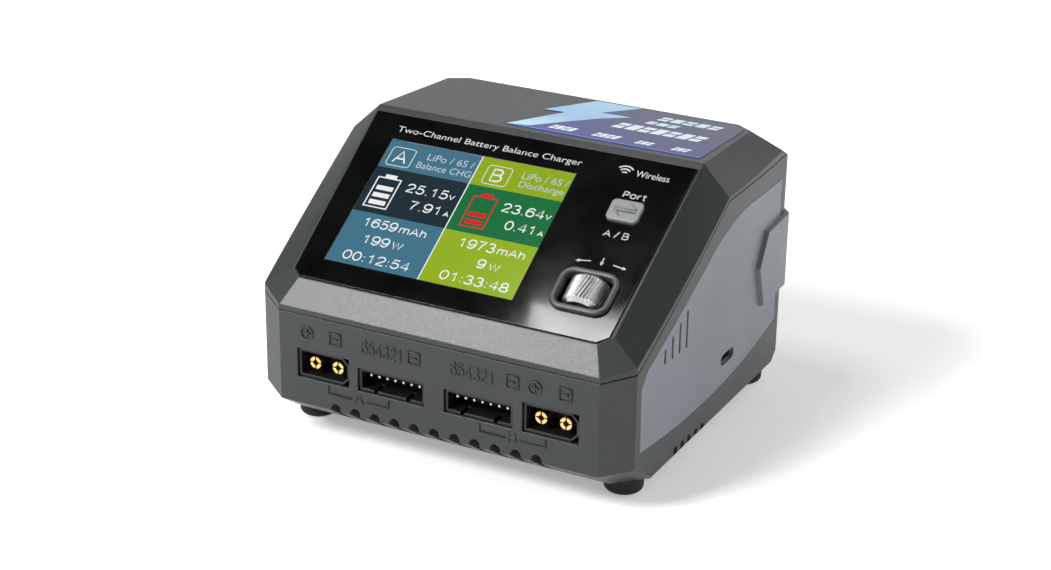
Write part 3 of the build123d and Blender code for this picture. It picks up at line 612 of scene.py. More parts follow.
def cut_shape(
    name: str, outlines: list[Outline], face: Face, out_mm: float, thick_mm: float
) -> bpy.types.Object:
    """Makes a flat shape from closed outlines, an outline within another being a hole.

    Args:
        name: the piece's name.
        outlines: closed outlines in millimetres on the face.
        face: the face that the shape lies on.
        out_mm: how far its back stands off the face.
        thick_mm: how thick it is.

    Returns:
        The mesh piece.
    """
    curve = bpy.data.curves.new(name, "CURVE")
    curve.dimensions = "2D"
    curve.fill_mode = "BOTH"
    curve.extrude = thick_mm * MM / 2
    for outline in outlines:
        line = curve.splines.new("POLY")
        line.points.add(len(outline) - 1)
        for point, (across, up) in zip(line.points, outline):
            point.co = (across * MM, up * MM, 0.0, 1.0)
        line.use_cyclic_u = True
    source = new_object(name, curve)
    return mesh_piece(name, source, face.place(out_mm=out_mm + thick_mm / 2))


@dataclass(frozen=True)
class Lettering:
    """A short line of figures or letters that fills a given width and height."""

    name: str
    text: str
    left: float
    base: float
    wide: float
    high: float

    def piece(self, face: Face, out_mm: float, thick_mm: float) -> bpy.types.Object:
        """Makes the line on a face.

        Args:
            face: the face that the line lies on.
            out_mm: how far its back stands off the face.
            thick_mm: how thick the letters are.

        Returns:
            The mesh piece.
        """
        letters = bpy.data.curves.new(self.name, "FONT")
        letters.body = self.text
        letters.size = 1.0
        letters.resolution_u = 5
        source = new_object(self.name, letters)
        bpy.context.view_layer.update()
        mesh = bpy.data.meshes.new_from_object(source.evaluated_get(bpy.context.evaluated_depsgraph_get()))
        xs = [v.co.x for v in mesh.vertices]
        ys = [v.co.y for v in mesh.vertices]
        bpy.data.meshes.remove(mesh)
        scale_x = self.wide * MM / (max(xs) - min(xs))
        scale_y = self.high * MM / (max(ys) - min(ys))
        letters.extrude = 0.5
        fit = Matrix.Diagonal((scale_x, scale_y, thick_mm * MM, 1.0))
        start = Matrix.Translation((-min(xs), -min(ys), 0.0))
        move = face.place(self.left, self.base, out_mm + thick_mm / 2) @ fit @ start
        return mesh_piece(self.name, source, move)


def bow(
    across: float, up: float, wide: float, high: float, start_deg: float, end_deg: float, points: int = 16
) -> Outline:
    """Gives a part of an ellipse as a stroke.

    Args:
        across: the ellipse's middle.
        up: the ellipse's middle.
        wide: half its width.
        high: half its height.
        start_deg: where the stroke starts, anticlockwise from the right.
        end_deg: where it ends.
        points: how many points it has.

    Returns:
        The stroke's points, in parts of a figure's height.
    """
    turns = [math.radians(start_deg + (end_deg - start_deg) * k / (points - 1)) for k in range(points)]
    return [(across + wide * math.cos(t), up + high * math.sin(t)) for t in turns]


SIX = [bow(0.28, 0.32, 0.27, 0.32, 0, 360, 28), bow(0.31, 0.5, 0.30, 0.5, 195, 38, 18)]
GLYPHS: dict[str, tuple[float, list[Outline]]] = {
    "0": (0.56, [bow(0.28, 0.5, 0.27, 0.5, 0, 360, 30)]),
    "1": (0.56, [[(0.1, 0.76), (0.22, 0.8), (0.31, 0.9), (0.34, 1.0), (0.34, 0.0)]]),
    "2": (
        0.56,
        [bow(0.28, 0.71, 0.25, 0.29, 175, -35) + [(0.2, 0.27), (0.06, 0.12), (0.02, 0.0), (0.54, 0.0)]],
    ),
    "3": (0.56, [bow(0.27, 0.755, 0.22, 0.245, 160, -90), bow(0.27, 0.255, 0.27, 0.255, 90, -165)]),
    "4": (0.56, [[(0.42, 0.0), (0.42, 1.0), (0.0, 0.29), (0.56, 0.29)]]),
    "5": (0.56, [[(0.51, 1.0), (0.13, 1.0), (0.06, 0.5)] + bow(0.27, 0.33, 0.27, 0.32, 135, -160, 20)]),
    "6": (0.56, SIX),
    "7": (0.56, [[(0.02, 1.0), (0.54, 1.0), (0.36, 0.68), (0.24, 0.36), (0.18, 0.0)]]),
    "8": (0.56, [bow(0.28, 0.755, 0.22, 0.245, 0, 360, 24), bow(0.28, 0.255, 0.27, 0.255, 0, 360, 26)]),
    "9": (0.56, [[(0.56 - x, 1 - y) for x, y in stroke] for stroke in SIX]),
    ".": (0.16, [[(0.08, -0.03), (0.08, 0.07)]]),
    ":": (0.16, [[(0.08, 0.02), (0.08, 0.12)], [(0.08, 0.56), (0.08, 0.66)]]),
    "/": (0.36, [[(0.0, -0.03), (0.36, 1.03)]]),
    " ": (0.1, []),
    "V": (0.6, [[(0.0, 1.0), (0.3, 0.0), (0.6, 1.0)]]),
    "W": (0.92, [[(0.0, 1.0), (0.23, 0.0), (0.46, 1.0), (0.69, 0.0), (0.92, 1.0)]]),
    "A": (0.66, [[(0.0, 0.0), (0.33, 1.0), (0.66, 0.0)], [(0.12, 0.34), (0.54, 0.34)]]),
    "B": (
        0.6,
        [
            [(0.04, 0.53), (0.04, 1.0)] + bow(0.33, 0.765, 0.2, 0.235, 90, -90) + [(0.04, 0.53)],
            [(0.04, 0.53)] + bow(0.34, 0.265, 0.24, 0.265, 90, -90) + [(0.04, 0.0), (0.04, 0.53)],
        ],
    ),
    "P": (0.56, [[(0.04, 0.0), (0.04, 1.0)] + bow(0.3, 0.73, 0.24, 0.27, 90, -90) + [(0.04, 0.46)]]),
    "h": (0.5, [[(0.04, 0.0), (0.04, 1.0)], bow(0.25, 0.48, 0.21, 0.24, 180, 0) + [(0.46, 0.0)]]),
    "m": (
        0.82,
        [
            [(0.04, 0.0), (0.04, 0.72)],
            bow(0.225, 0.52, 0.185, 0.2, 180, 0) + [(0.41, 0.0)],
            bow(0.595, 0.52, 0.185, 0.2, 180, 0) + [(0.78, 0.0)],
        ],
    ),
    "o": (0.54, [bow(0.27, 0.36, 0.25, 0.37, 0, 360, 24)]),
    "r": (0.32, [[(0.04, 0.0), (0.04, 0.72)], bow(0.28, 0.42, 0.24, 0.28, 180, 85)]),
    "t": (0.32, [[(0.14, 0.94), (0.14, 0.14), (0.2, 0.02), (0.32, 0.02)], [(0.0, 0.72), (0.32, 0.72)]]),
}


@dataclass(frozen=True)
class StrokedFigures:
    """A line of figures drawn with a round pen, as on instrument screens and moulds."""

    name: str
    text: str
    left: float
    base: float
    wide: float
    high: float
    pen: float = 0.42
    spacing: float = 0.16

    def piece(self, face: Face, out_mm: float, thick_mm: float) -> bpy.types.Object:
        """Makes the line on a face.

        Args:
            face: the face that the line lies on.
            out_mm: how far the strokes' middle stands off the face.
            thick_mm: how thick the strokes are.

        Returns:
            The mesh piece.
        """
        curve = bpy.data.curves.new(self.name, "CURVE")
        curve.dimensions = "3D"
        curve.bevel_depth = self.pen * MM / 2
        curve.bevel_resolution = 2
        curve.use_fill_caps = True
        room = sum(GLYPHS[sign][0] for sign in self.text) + self.spacing * (len(self.text) - 1)
        scale = (self.wide - self.pen) / room
        reach = 0.0
        for sign in self.text:
            width, strokes = GLYPHS[sign]
            for stroke in strokes:
                closed = math.dist(stroke[0], stroke[-1]) < 1e-6
                kept = stroke[:-1] if closed else stroke
                line = curve.splines.new("POLY")
                line.points.add(len(kept) - 1)
                line.use_cyclic_u = closed
                for point, (x, y) in zip(line.points, kept):
                    across = self.pen / 2 + (reach + x) * scale
                    up = self.pen / 2 + y * (self.high - self.pen)
                    point.co = (across * MM, up * MM, 0.0, 1.0)
            reach += width + self.spacing
        source = new_object(self.name, curve)
        flat = Matrix.Diagonal((1.0, 1.0, thick_mm / self.pen, 1.0))
        return mesh_piece(self.name, source, face.place(self.left, self.base, out_mm) @ flat)


def rectangle(left: float, low: float, right: float, high: float) -> Outline:
    """Gives a rectangle.

    Args:
        left: the left side.
        low: the lower side.
        right: the right side.
        high: the upper side.

    Returns:
        Its corners, in millimetres.
    """
    return [(left, low), (right, low), (right, high), (left, high)]


def rounded_rectangle(left: float, low: float, right: float, high: float, radius: float) -> Outline:
    """Gives a rectangle with round corners.

    Args:
        left: the left side.
        low: the lower side.
        right: the right side.
        high: the upper side.
        radius: the corners' radius.

    Returns:
        The outline, in millimetres.
    """
    centres = [
        (right - radius, low + radius, -90),
        (right - radius, high - radius, 0),
        (left + radius, high - radius, 90),
        (left + radius, low + radius, 180),
    ]
    return [
        (
            across + radius * math.cos(math.radians(start + turn)),
            up + radius * math.sin(math.radians(start + turn)),
        )
        for across, up, start in centres
        for turn in range(0, 91, 15)
    ]


def ring(across: float, up: float, radius: float) -> Outline:
    """Gives a circle.

    Args:
        across: its middle.
        up: its middle.
        radius: its radius.

    Returns:
        An outline of 40 points, in millimetres.
    """
    turns = [k * math.tau / 40 for k in range(40)]
    return [(across + radius * math.cos(t), up + radius * math.sin(t)) for t in turns]


def arrow(tail: tuple[float, float], tip: tuple[float, float], line_mm: float, head_mm: float) -> Outline:
    """Gives an arrow's outline.

    Args:
        tail: where the arrow starts, in millimetres.
        tip: where it points to.
        line_mm: the shaft's width.
        head_mm: the head's width and length.

    Returns:
        The outline, in millimetres.
    """
    start, end = Vector(tail), Vector(tip)
    way = (end - start).normalized()
    side = Vector((-way.y, way.x))
    neck = end - way * head_mm
    points = [
        start + side * line_mm / 2,
        start - side * line_mm / 2,
        neck - side * line_mm / 2,
        neck - side * head_mm / 2,
        end,
        neck + side * head_mm / 2,
        neck + side * line_mm / 2,
    ]
    return [(p.x, p.y) for p in points]


# The casing: a matt dark grey whose fine speckle breaks the soft boxes' reflections.
CASING_ABS = MouldedPlastic(
    "abs_dark_grey_spark_eroded",
    "#212527",
    "#2a2e2f",
    roughness=0.4,
    grain=Grain.SPARK_ERODED,
    grain_mm=0.35,
    depth_mm=0.018,
    edge_mm=0.45,
)
# The side panels: smoother and paler than the casing, with an even satin light.
PANEL_ABS = MouldedPlastic(
    "abs_blue_grey_satin", "#626a71", "#6f777e", roughness=0.42, grain_mm=0.35, edge_mm=0.35
)
# The roller's surround: a round satin rim that catches one thin highlight.
BEZEL_ABS = MouldedPlastic(
    "abs_mid_grey_satin", "#3e4142", "#4b4e4f", roughness=0.34, grain_mm=0.3, depth_mm=0.015, edge_mm=0.4
)
# The port button: the palest plastic, with soft worn edges.
BUTTON_ABS = MouldedPlastic(
    "abs_pale_grey_satin", "#7b7d7e", "#888a8b", roughness=0.38, grain_mm=0.3, depth_mm=0.015, edge_mm=0.7
)
# Sockets and headers: near black, so that the pins stand out.
SOCKET_NYLON = MouldedPlastic(
    "nylon_black_moulded", "#0c0d0d", "#151616", roughness=0.42, grain_mm=0.3, depth_mm=0.015, edge_mm=0.2
)
# The feet: rubber that hardly shines.
FOOT_RUBBER = MouldedPlastic(
    "rubber_black_moulded",
    "#111212",
    "#1b1c1c",
    roughness=0.72,
    grain=Grain.SPARK_ERODED,
    depth_mm=0.03,
    edge_mm=0.4,
    ior=1.52,
    sheen_level=0.35,
)
# Transformer and inductor cores: a dry dark ceramic.
FERRITE_BLOCK = MouldedPlastic(
    "ferrite_sintered",
    "#2a2b2c",
    "#3a3b3c",
    roughness=0.6,
    grain=Grain.SPARK_ERODED,
    grain_mm=0.4,
    depth_mm=0.04,
    edge_mm=0.3,
    ior=2.0,
)
# Capacitor cans: a tight glossy sleeve.
CAPACITOR_SLEEVE = MouldedPlastic(
    "pvc_sleeve_shrunk", "#14181f", "#1e242e", roughness=0.3, grain=Grain.POLISHED, grain_mm=0.8, edge_mm=0.4
)
# The display's flat cable: an amber film with a flat sheen.
FLAT_CABLE_FILM = MouldedPlastic(
    "polyimide_film_rolled",
    "#a8682a",
    "#bd7c38",
    roughness=0.3,
    grain=Grain.POLISHED,
    grain_mm=1.0,
    depth_mm=0.01,
    edge_mm=0.1,
)
# The back panel: sheet steel under a dull black powder coat.
REAR_STEEL = MouldedPlastic(
    "steel_powder_coated_black",
    "#1d1f20",
    "#292b2c",
    roughness=0.55,
    grain=Grain.SPARK_ERODED,
    grain_mm=0.4,
    depth_mm=0.03,
    edge_mm=0.3,
)
# The cover glass's markings: flat pale ink.
GLASS_PRINT = MouldedPlastic(
    "glass_ink_screen_printed",
    "#b0b3b3",
    "#c2c5c5",
    roughness=0.5,
    grain=Grain.POLISHED,
    grain_mm=0.4,
    depth_mm=0.005,
    edge_mm=0.02,
)
# The display's cover: a deep black mirror that shows one soft box at its lower right.
COVER_GLASS = PaintedGlass("cover_glass_painted_black", "#060707", roughness=0.05)
# The screen's own dark border, hardly lit.
SCREEN_OFF = LitPixels("screen_border_dark", "#0b0d0e", light=0.25)
# The roller: bright bare metal, soft enough to show each ridge.
ROLLER_ALUMINIUM = Metal(
    "aluminium_knurled_bare", "#d6d6d5", "#c4c5c6", roughness=0.34, mark_mm=2.0, edge_mm=0.02
)
# Screws, pins and shields: grey zinc with small soft glints.
FIXING_STEEL = Metal("steel_zinc_plated", "#a5a8aa", "#85888b", roughness=0.32, mark_mm=0.4)
# Power pins: warm gold, the front's only warm glints.
PIN_GOLD = Metal("brass_gold_plated", "#ffdf9c", "#e8b867", roughness=0.24, mark_mm=0.3)
# Balance pins: bright white dots in the dark headers.
PIN_TIN = Metal("brass_tin_plated", "#d9dbdc", "#a9abad", roughness=0.22, mark_mm=0.3)
# The heat sink: dull metal with drawing lines along its fins.
SINK_ALUMINIUM = Metal(
    "aluminium_extruded", "#b7babc", "#92969a", roughness=0.38, working=Working.EXTRUDED, mark_mm=0.5
)
# Circuit boards: deep green with paler tracks.
BOARD_MASK = SolderMask("fibre_board_green_mask", "#12402a", "#1f6a44")
# The label's ground: deep blue at the front, running to slate at the back.
LABEL_FILM = PrintedFilm("label_film_printed", "#242e8a", "#303872", "#3b415a")
# The label's bolt: ice blue.
BOLT_PRINT = PrintedFilm("label_film_bolt_print", "#b8dcea", "#8fb4d8", "#9cc7da")
# The label's bars: off-white.
LABEL_WHITE = PrintedFilm("label_film_white_print", "#e6eef2", "#dbe4ea", "#c9dbe4")
# The label's front edge: bright blue.
EDGE_PRINT = PrintedFilm("label_film_blue_print", "#5f7be6", "#4c66dc", "#5f7be6")
# The transformer's winding: rows of warm highlights, with painted shade in the grooves between turns.
WINDING_COPPER = WoundCopper("copper_wire_wound", "#c4743a", "#5a2a12")

Finish = MouldedPlastic | PaintedGlass | LitPixels | Metal | SolderMask | PrintedFilm | WoundCopper

NODE_FINISHES: list[tuple[Finish, str, list[str]]] = [
    (CASING_ABS, "casing", ["upper_shell", "lower_shell"]),
    (PANEL_ABS, "side_panel", ["side_panel_left", "side_panel_right"]),
    (COVER_GLASS, "glass", ["display_glass"]),
    (SCREEN_OFF, "screen", ["lcd_module"]),
    (BEZEL_ABS, "bezel", ["wheel_bezel"]),
    (BUTTON_ABS, "button", ["port_button"]),
    (REAR_STEEL, "rear_panel", ["rear_panel"]),
    (PIN_GOLD, "gold", ["charge_pins_a", "charge_pins_b", "power_pins"]),
    (PIN_TIN, "pin_metal", ["balance_pins_a", "balance_pins_b"]),
    (SINK_ALUMINIUM, "heat_sink", ["heat_sink"]),
    (BOARD_MASK, "circuit_board", ["main_board", "supply_board", "control_board", "usb_board"]),
    (LABEL_FILM, "label", ["top_label"]),
    (WINDING_COPPER, "winding", ["transformer_winding"]),
    (FERRITE_BLOCK, "ferrite", ["transformer_core", "output_inductors"]),
    (CAPACITOR_SLEEVE, "capacitor", ["supply_capacitors", "output_capacitors"]),
    (FLAT_CABLE_FILM, "flat_cable", ["display_cable"]),
    (
        FOOT_RUBBER,
        "rubber",
        ["foot_front_left", "foot_front_right", "foot_back_left", "foot_back_right"],
    ),
    (
        FIXING_STEEL,
        "steel",
        [
            "wheel_axle",
            "usb_port",
            "mains_pins",
            "rear_panel_screws",
            "fan_screws",
            "case_screws",
            "board_screws",
            "control_board_screws",
        ],
    ),
    (
        SOCKET_NYLON,
        "black_plastic",
        [
            "charge_socket_a",
            "charge_socket_b",
            "balance_header_a",
            "balance_header_b",
            "power_socket",
            "mains_inlet",
            "module_spacers",
            "wheel_yoke",
            "wheel_guide",
            "wheel_switch",
            "port_switch",
            "power_transistors",
            "controller_chips",
            "buzzer",
            "fan_frame",
            "fan_rotor",
        ],
    ),
]


@dataclass
class CastParts:
    """The parts that keep their own shape and get their finish here."""

    nodes: dict[str, bpy.types.Object]

    def dress(self) -> None:
        """Puts each part's finish on it."""
        for finish, slot, names in NODE_FINISHES:
            material = finish.material()
            for name in names:
                for place in self.nodes[name].material_slots:
                    place.material = material
                LOG.info("%s gets %s for %s", name, material.name, slot)


@dataclass
class ScreenPicture:
    """The lit picture on the screen: two columns, one for each charging port."""

    face: Face
    left: float = -40.3
    right: float = 17.3
    low: float = 6.8
    high: float = 50.0
    divider: float = -11.2
    divider_width: float = 0.35
    header_low: float = 40.2
    middle_low: float = 24.4
    layer: float = 0.01
    picture_depth: float = -0.055
    port_shift: float = 30.2
    battery_left: float = -38.3
    battery_right: float = -30.7
    battery_low: float = 26.3
    battery_high: float = 36.9
    battery_rim: float = 0.4
    bar_foot: float = 1.15
    bar_pitch: float = 2.5
    bar_inset: float = 1.2
    bar_height: float = 1.5

    def build(self) -> None:
        """Makes the coloured fields, the divider, both battery signs and the figures."""
        fields = {
            "a_header": ("#4d7f98", self.left, self.header_low, self.divider, self.high),
            "a_middle": ("#21343f", self.left, self.middle_low, self.divider, self.header_low),
            "a_lower": ("#4a8098", self.left, self.low, self.divider, self.middle_low),
            "b_header": ("#9dbd22", self.divider, self.header_low, self.right, self.high),
            "b_middle": ("#1c7b45", self.divider, self.middle_low, self.right, self.header_low),
            "b_lower": ("#a2c426", self.divider, self.low, self.right, self.middle_low),
        }
        for name, (colour, left, low, right, high) in fields.items():
            shape = [rectangle(left, low, right, high)]
            field = cut_shape(f"screen_{name}", shape, self.face, self.picture_depth, self.layer)
            settle(field, "charger", LitPixels(f"screen_{name}_colour", colour).material())
        white = LitPixels("screen_white", "#f4f6f6", 0.95).material()
        pale = LitPixels("screen_pale", "#c9dbe2", 0.85).material()
        red = LitPixels("screen_red", "#e3242b", 0.9).material()
        half = self.divider_width / 2
        line = rectangle(self.divider - half, self.low, self.divider + half, self.high)
        self.add_shape("divider", [line], white)
        self.add_battery("a", 0.0, 3, white)
        self.add_battery("b", self.port_shift + 0.1, 2, red)
        self.add_port_box("a", 0.0, white)
        self.add_port_box("b", self.port_shift + 0.2, white)
        figures = [
            StrokedFigures("screen_a_letter", "A", -37.0, 42.3, 4.3, 4.5, 0.5),
            StrokedFigures("screen_a_volts", "25.15", -28.3, 33.4, 13.2, 3.1),
            StrokedFigures("screen_a_volt_sign", "V", -14.8, 33.6, 1.8, 1.8, 0.34),
            StrokedFigures("screen_a_amps", "7.91", -24.8, 27.95, 10.3, 3.1),
            StrokedFigures("screen_a_amp_sign", "A", -13.9, 28.0, 1.8, 1.8, 0.34),
            StrokedFigures("screen_a_charge", "1659", -35.4, 19.8, 10.9, 3.1),
            StrokedFigures("screen_a_charge_sign", "mAh", -23.8, 19.8, 8.6, 2.6, 0.34),
            StrokedFigures("screen_a_power", "199", -32.9, 14.3, 8.6, 3.1),
            StrokedFigures("screen_a_power_sign", "W", -23.5, 14.4, 3.4, 2.4, 0.34),
            StrokedFigures("screen_a_time", "00:12:54", -36.0, 8.3, 20.9, 3.1),
            StrokedFigures("screen_b_letter", "B", -6.4, 42.3, 3.9, 4.5, 0.5),
            StrokedFigures("screen_b_volts", "23.64", 1.7, 33.3, 12.8, 3.1),
            StrokedFigures("screen_b_volt_sign", "V", 14.8, 33.5, 1.8, 1.8, 0.34),
            StrokedFigures("screen_b_amps", "0.41", 4.9, 27.85, 9.5, 3.1),
            StrokedFigures("screen_b_amp_sign", "A", 15.0, 27.9, 1.8, 1.8, 0.34),
            StrokedFigures("screen_b_charge", "1973", -5.5, 19.6, 11.4, 3.2),
            StrokedFigures("screen_b_charge_sign", "mAh", 6.5, 19.6, 8.5, 2.6, 0.34),
            StrokedFigures("screen_b_power", "9", 2.8, 14.2, 2.6, 3.1),
            StrokedFigures("screen_b_power_sign", "W", 6.4, 14.2, 3.3, 2.4, 0.34),
            StrokedFigures("screen_b_time", "01:33:48", -5.9, 8.5, 20.8, 3.1),
        ]
        notes = [
            Lettering("screen_a_cells", "LiPo / 6S /", -27.0, 45.2, 14.6, 2.3),
            Lettering("screen_a_task", "Balance CHG", -29.0, 42.0, 17.0, 2.2),
            Lettering("screen_b_cells", "LiPo / 6S /", 2.7, 45.1, 14.0, 2.3),
            Lettering("screen_b_task", "Discharge", 2.9, 41.6, 13.6, 2.7),
        ]
        for figure in figures:
            self.add_words(figure, white)
        for note in notes:
            self.add_words(note, pale)

    def add_shape(self, name: str, outlines: list[Outline], material: bpy.types.Material) -> None:
        """Lays a lit shape over the coloured fields.

        Args:
            name: what the shape is.
            outlines: its closed outlines in millimetres.
            material: its lit colour.
        """
        depth = self.picture_depth + self.layer
        shape = cut_shape(f"screen_{name}", outlines, self.face, depth, self.layer)
        settle(shape, "charger", material)

    def add_words(self, words: Lettering | StrokedFigures, material: bpy.types.Material) -> None:
        """Lays lit figures over the coloured fields.

        Args:
            words: the figures and their place.
            material: their lit colour.
        """
        depth = self.picture_depth + self.layer
        settle(words.piece(self.face, depth, self.layer), "charger", material)

    def add_battery(self, port: str, shift: float, bars: int, material: bpy.types.Material) -> None:
        """Draws a battery sign filled with some bars.

        Args:
            port: the port's letter.
            shift: how far right of the first column it stands.
            bars: how many bars are lit.
            material: its lit colour.
        """
        left = self.battery_left + shift
        right = self.battery_right + shift
        low = self.battery_low
        high = self.battery_high
        rim = self.battery_rim
        shell = [
            rectangle(left, low, right, high),
            rectangle(left + rim, low + rim, right - rim, high - rim),
        ]
        self.add_shape(f"{port}_battery", shell, material)
        cap = [rectangle(left + 2.1, high, right - 1.9, high + 1.1)]
        self.add_shape(f"{port}_battery_cap", cap, material)
        for bar in range(bars):
            foot = low + self.bar_foot + self.bar_pitch * bar
            lit = rectangle(left + self.bar_inset, foot, right - self.bar_inset, foot + self.bar_height)
            self.add_shape(f"{port}_battery_bar_{bar}", [lit], material)

    def add_port_box(self, port: str, shift: float, material: bpy.types.Material) -> None:
        """Draws the thin round-cornered box about a port's letter.

        Args:
            port: the port's letter.
            shift: how far right of the first column it stands.
            material: its lit colour.
        """
        box = [
            rounded_rectangle(-38.6 + shift, 41.2, -31.0 + shift, 47.8, 1.0),
            rounded_rectangle(-38.4 + shift, 41.4, -31.2 + shift, 47.6, 0.8),
        ]
        self.add_shape(f"{port}_letter_box", box, material)


@dataclass
class GlassMarkings:
    """The pale ink markings on the cover glass."""

    face: Face
    ink: float = 0.015
    wave_across: float = 30.3
    wave_up: float = 52.6
    wave_half: float = 0.22
    shaft: float = 0.35
    head: float = 1.15

    def build(self) -> None:
        """Prints the heading, the port key's letters, the radio sign and the roller's arrows."""
        ink = GLASS_PRINT.material()
        lines = [
            Lettering("glass_heading", "Two-Channel Battery Balance Charger", -40.3, 52.3, 57.8, 2.6),
            Lettering("glass_radio_word", "Wireless", 33.6, 52.8, 9.8, 2.1),
            StrokedFigures("glass_port_word", "Port", 32.7, 45.4, 7.0, 2.2, 0.4),
            StrokedFigures("glass_port_letters", "A / B", 32.6, 32.1, 7.5, 2.3, 0.4),
        ]
        for line in lines:
            settle(line.piece(self.face, 0.0, self.ink), "charger", ink)
        arrows = {
            "left": arrow((33.0, 23.7), (28.8, 23.0), self.shaft, self.head),
            "down": arrow((36.15, 25.4), (36.2, 22.8), self.shaft, self.head),
            "right": arrow((39.4, 23.75), (43.4, 23.2), self.shaft, self.head),
        }
        for name, outline in arrows.items():
            piece = cut_shape(f"glass_arrow_{name}", [outline], self.face, 0.0, self.ink)
            settle(piece, "charger", ink)
        for step, radius in enumerate((1.0, 2.0, 3.0)):
            wave = cut_shape(f"glass_radio_wave_{step}", [self.wave(radius)], self.face, 0.0, self.ink)
            settle(wave, "charger", ink)

    def wave(self, radius: float) -> Outline:
        """Gives one arc of the radio sign.

        Args:
            radius: the arc's middle radius.

        Returns:
            The arc's closed outline, in millimetres.
        """
        turns = [math.radians(45 + 90 * k / 12) for k in range(13)]
        sides = []
        for reach in (radius + self.wave_half, radius - self.wave_half):
            sides.append(
                [(self.wave_across + reach * math.cos(t), self.wave_up + reach * math.sin(t)) for t in turns]
            )
        outer, inner = sides
        return outer + inner[::-1]


@dataclass
class FrontMarkings:
    """The raised signs moulded on the front, above and below the sockets."""

    face: Face
    material: bpy.types.Material
    raised: float = 0.34
    sunk: float = 0.05
    stroke: float = 0.38
    ring_radius: float = 2.05
    plus_arm: float = 1.15
    square_half: float = 1.9
    dash_half: float = 0.95
    dash_thick: float = 0.4
    hook_top: float = 18.4
    hook_foot: float = 16.0

    def build(self) -> None:
        """Makes the polarity signs, pin numbers, brackets and port letters."""
        self.add("plus_a", self.plus(-39.5, 32.7))
        self.add("plus_b", self.plus(30.0, 32.5))
        minuses = {"minus_a": -30.6, "minus_pin_a": -6.1, "minus_pin_b": 23.4, "minus_b": 38.8}
        for name, across in minuses.items():
            self.add(name, self.minus(across, 32.6))
        lines = [
            StrokedFigures("front_pin_numbers_a", "654321", -22.6, 30.3, 13.4, 4.3, 0.7, 0.2),
            StrokedFigures("front_pin_numbers_b", "654321", 4.6, 30.3, 13.8, 4.3, 0.7, 0.2),
            StrokedFigures("front_letter_a", "A", -25.0, 14.9, 3.4, 3.5, 0.5),
            StrokedFigures("front_letter_b", "B", 22.2, 14.8, 3.0, 3.5, 0.5),
        ]
        for line in lines:
            piece = line.piece(self.face, 0.0, 2 * self.raised)
            settle(piece, "charger", self.material)
        self.add("bracket_a_left", [self.hook(-33.1, -25.6)])
        self.add("bracket_a_right", [self.hook(-13.9, -21.2)])
        self.add("bracket_b_left", [self.hook(13.7, 21.6)])
        self.add("bracket_b_right", [self.hook(33.5, 25.8)])

    def add(self, name: str, outlines: list[Outline]) -> None:
        """Makes one raised sign.

        Args:
            name: what the sign is.
            outlines: its closed outlines in millimetres.
        """
        sign = cut_shape(f"front_{name}", outlines, self.face, -self.sunk, self.raised + self.sunk)
        settle(sign, "charger", self.material)

    def plus(self, across: float, up: float) -> list[Outline]:
        """Gives a ring with a plus in it.

        Args:
            across: the sign's middle.
            up: the sign's middle.

        Returns:
            The outlines, in millimetres.
        """
        arm, half = self.plus_arm, self.stroke * 0.6
        cross = [
            (-arm, -half),
            (-half, -half),
            (-half, -arm),
            (half, -arm),
            (half, -half),
            (arm, -half),
            (arm, half),
            (half, half),
            (half, arm),
            (-half, arm),
            (-half, half),
            (-arm, half),
        ]
        return [
            ring(across, up, self.ring_radius),
            ring(across, up, self.ring_radius - self.stroke),
            [(across + x, up + y) for x, y in cross],
        ]

    def minus(self, across: float, up: float) -> list[Outline]:
        """Gives a square with a minus in it.

        Args:
            across: the sign's middle.
            up: the sign's middle.

        Returns:
            The outlines, in millimetres.
        """
        side = self.square_half
        inside = side - self.stroke
        dash, thick = self.dash_half, self.dash_thick / 2
        return [
            rectangle(across - side, up - side, across + side, up + side),
            rectangle(across - inside, up - inside, across + inside, up + inside),
            rectangle(across - dash, up - thick, across + dash, up + thick),
        ]

    def hook(self, end: float, letter: float) -> Outline:
        """Gives the line from under a socket down and across towards a port's letter.

        Args:
            end: the upright's place across.
            letter: where the line ends beside the letter.

        Returns:
            The outline, in millimetres.
        """
        way = math.copysign(1.0, letter - end)
        wide = self.stroke * 0.8
        top, foot = self.hook_top, self.hook_foot
        return [
            (end, top),
            (end, foot),
            (letter, foot),
            (letter, foot + wide),
            (end + way * wide, foot + wide),
            (end + way * wide, top),
        ]


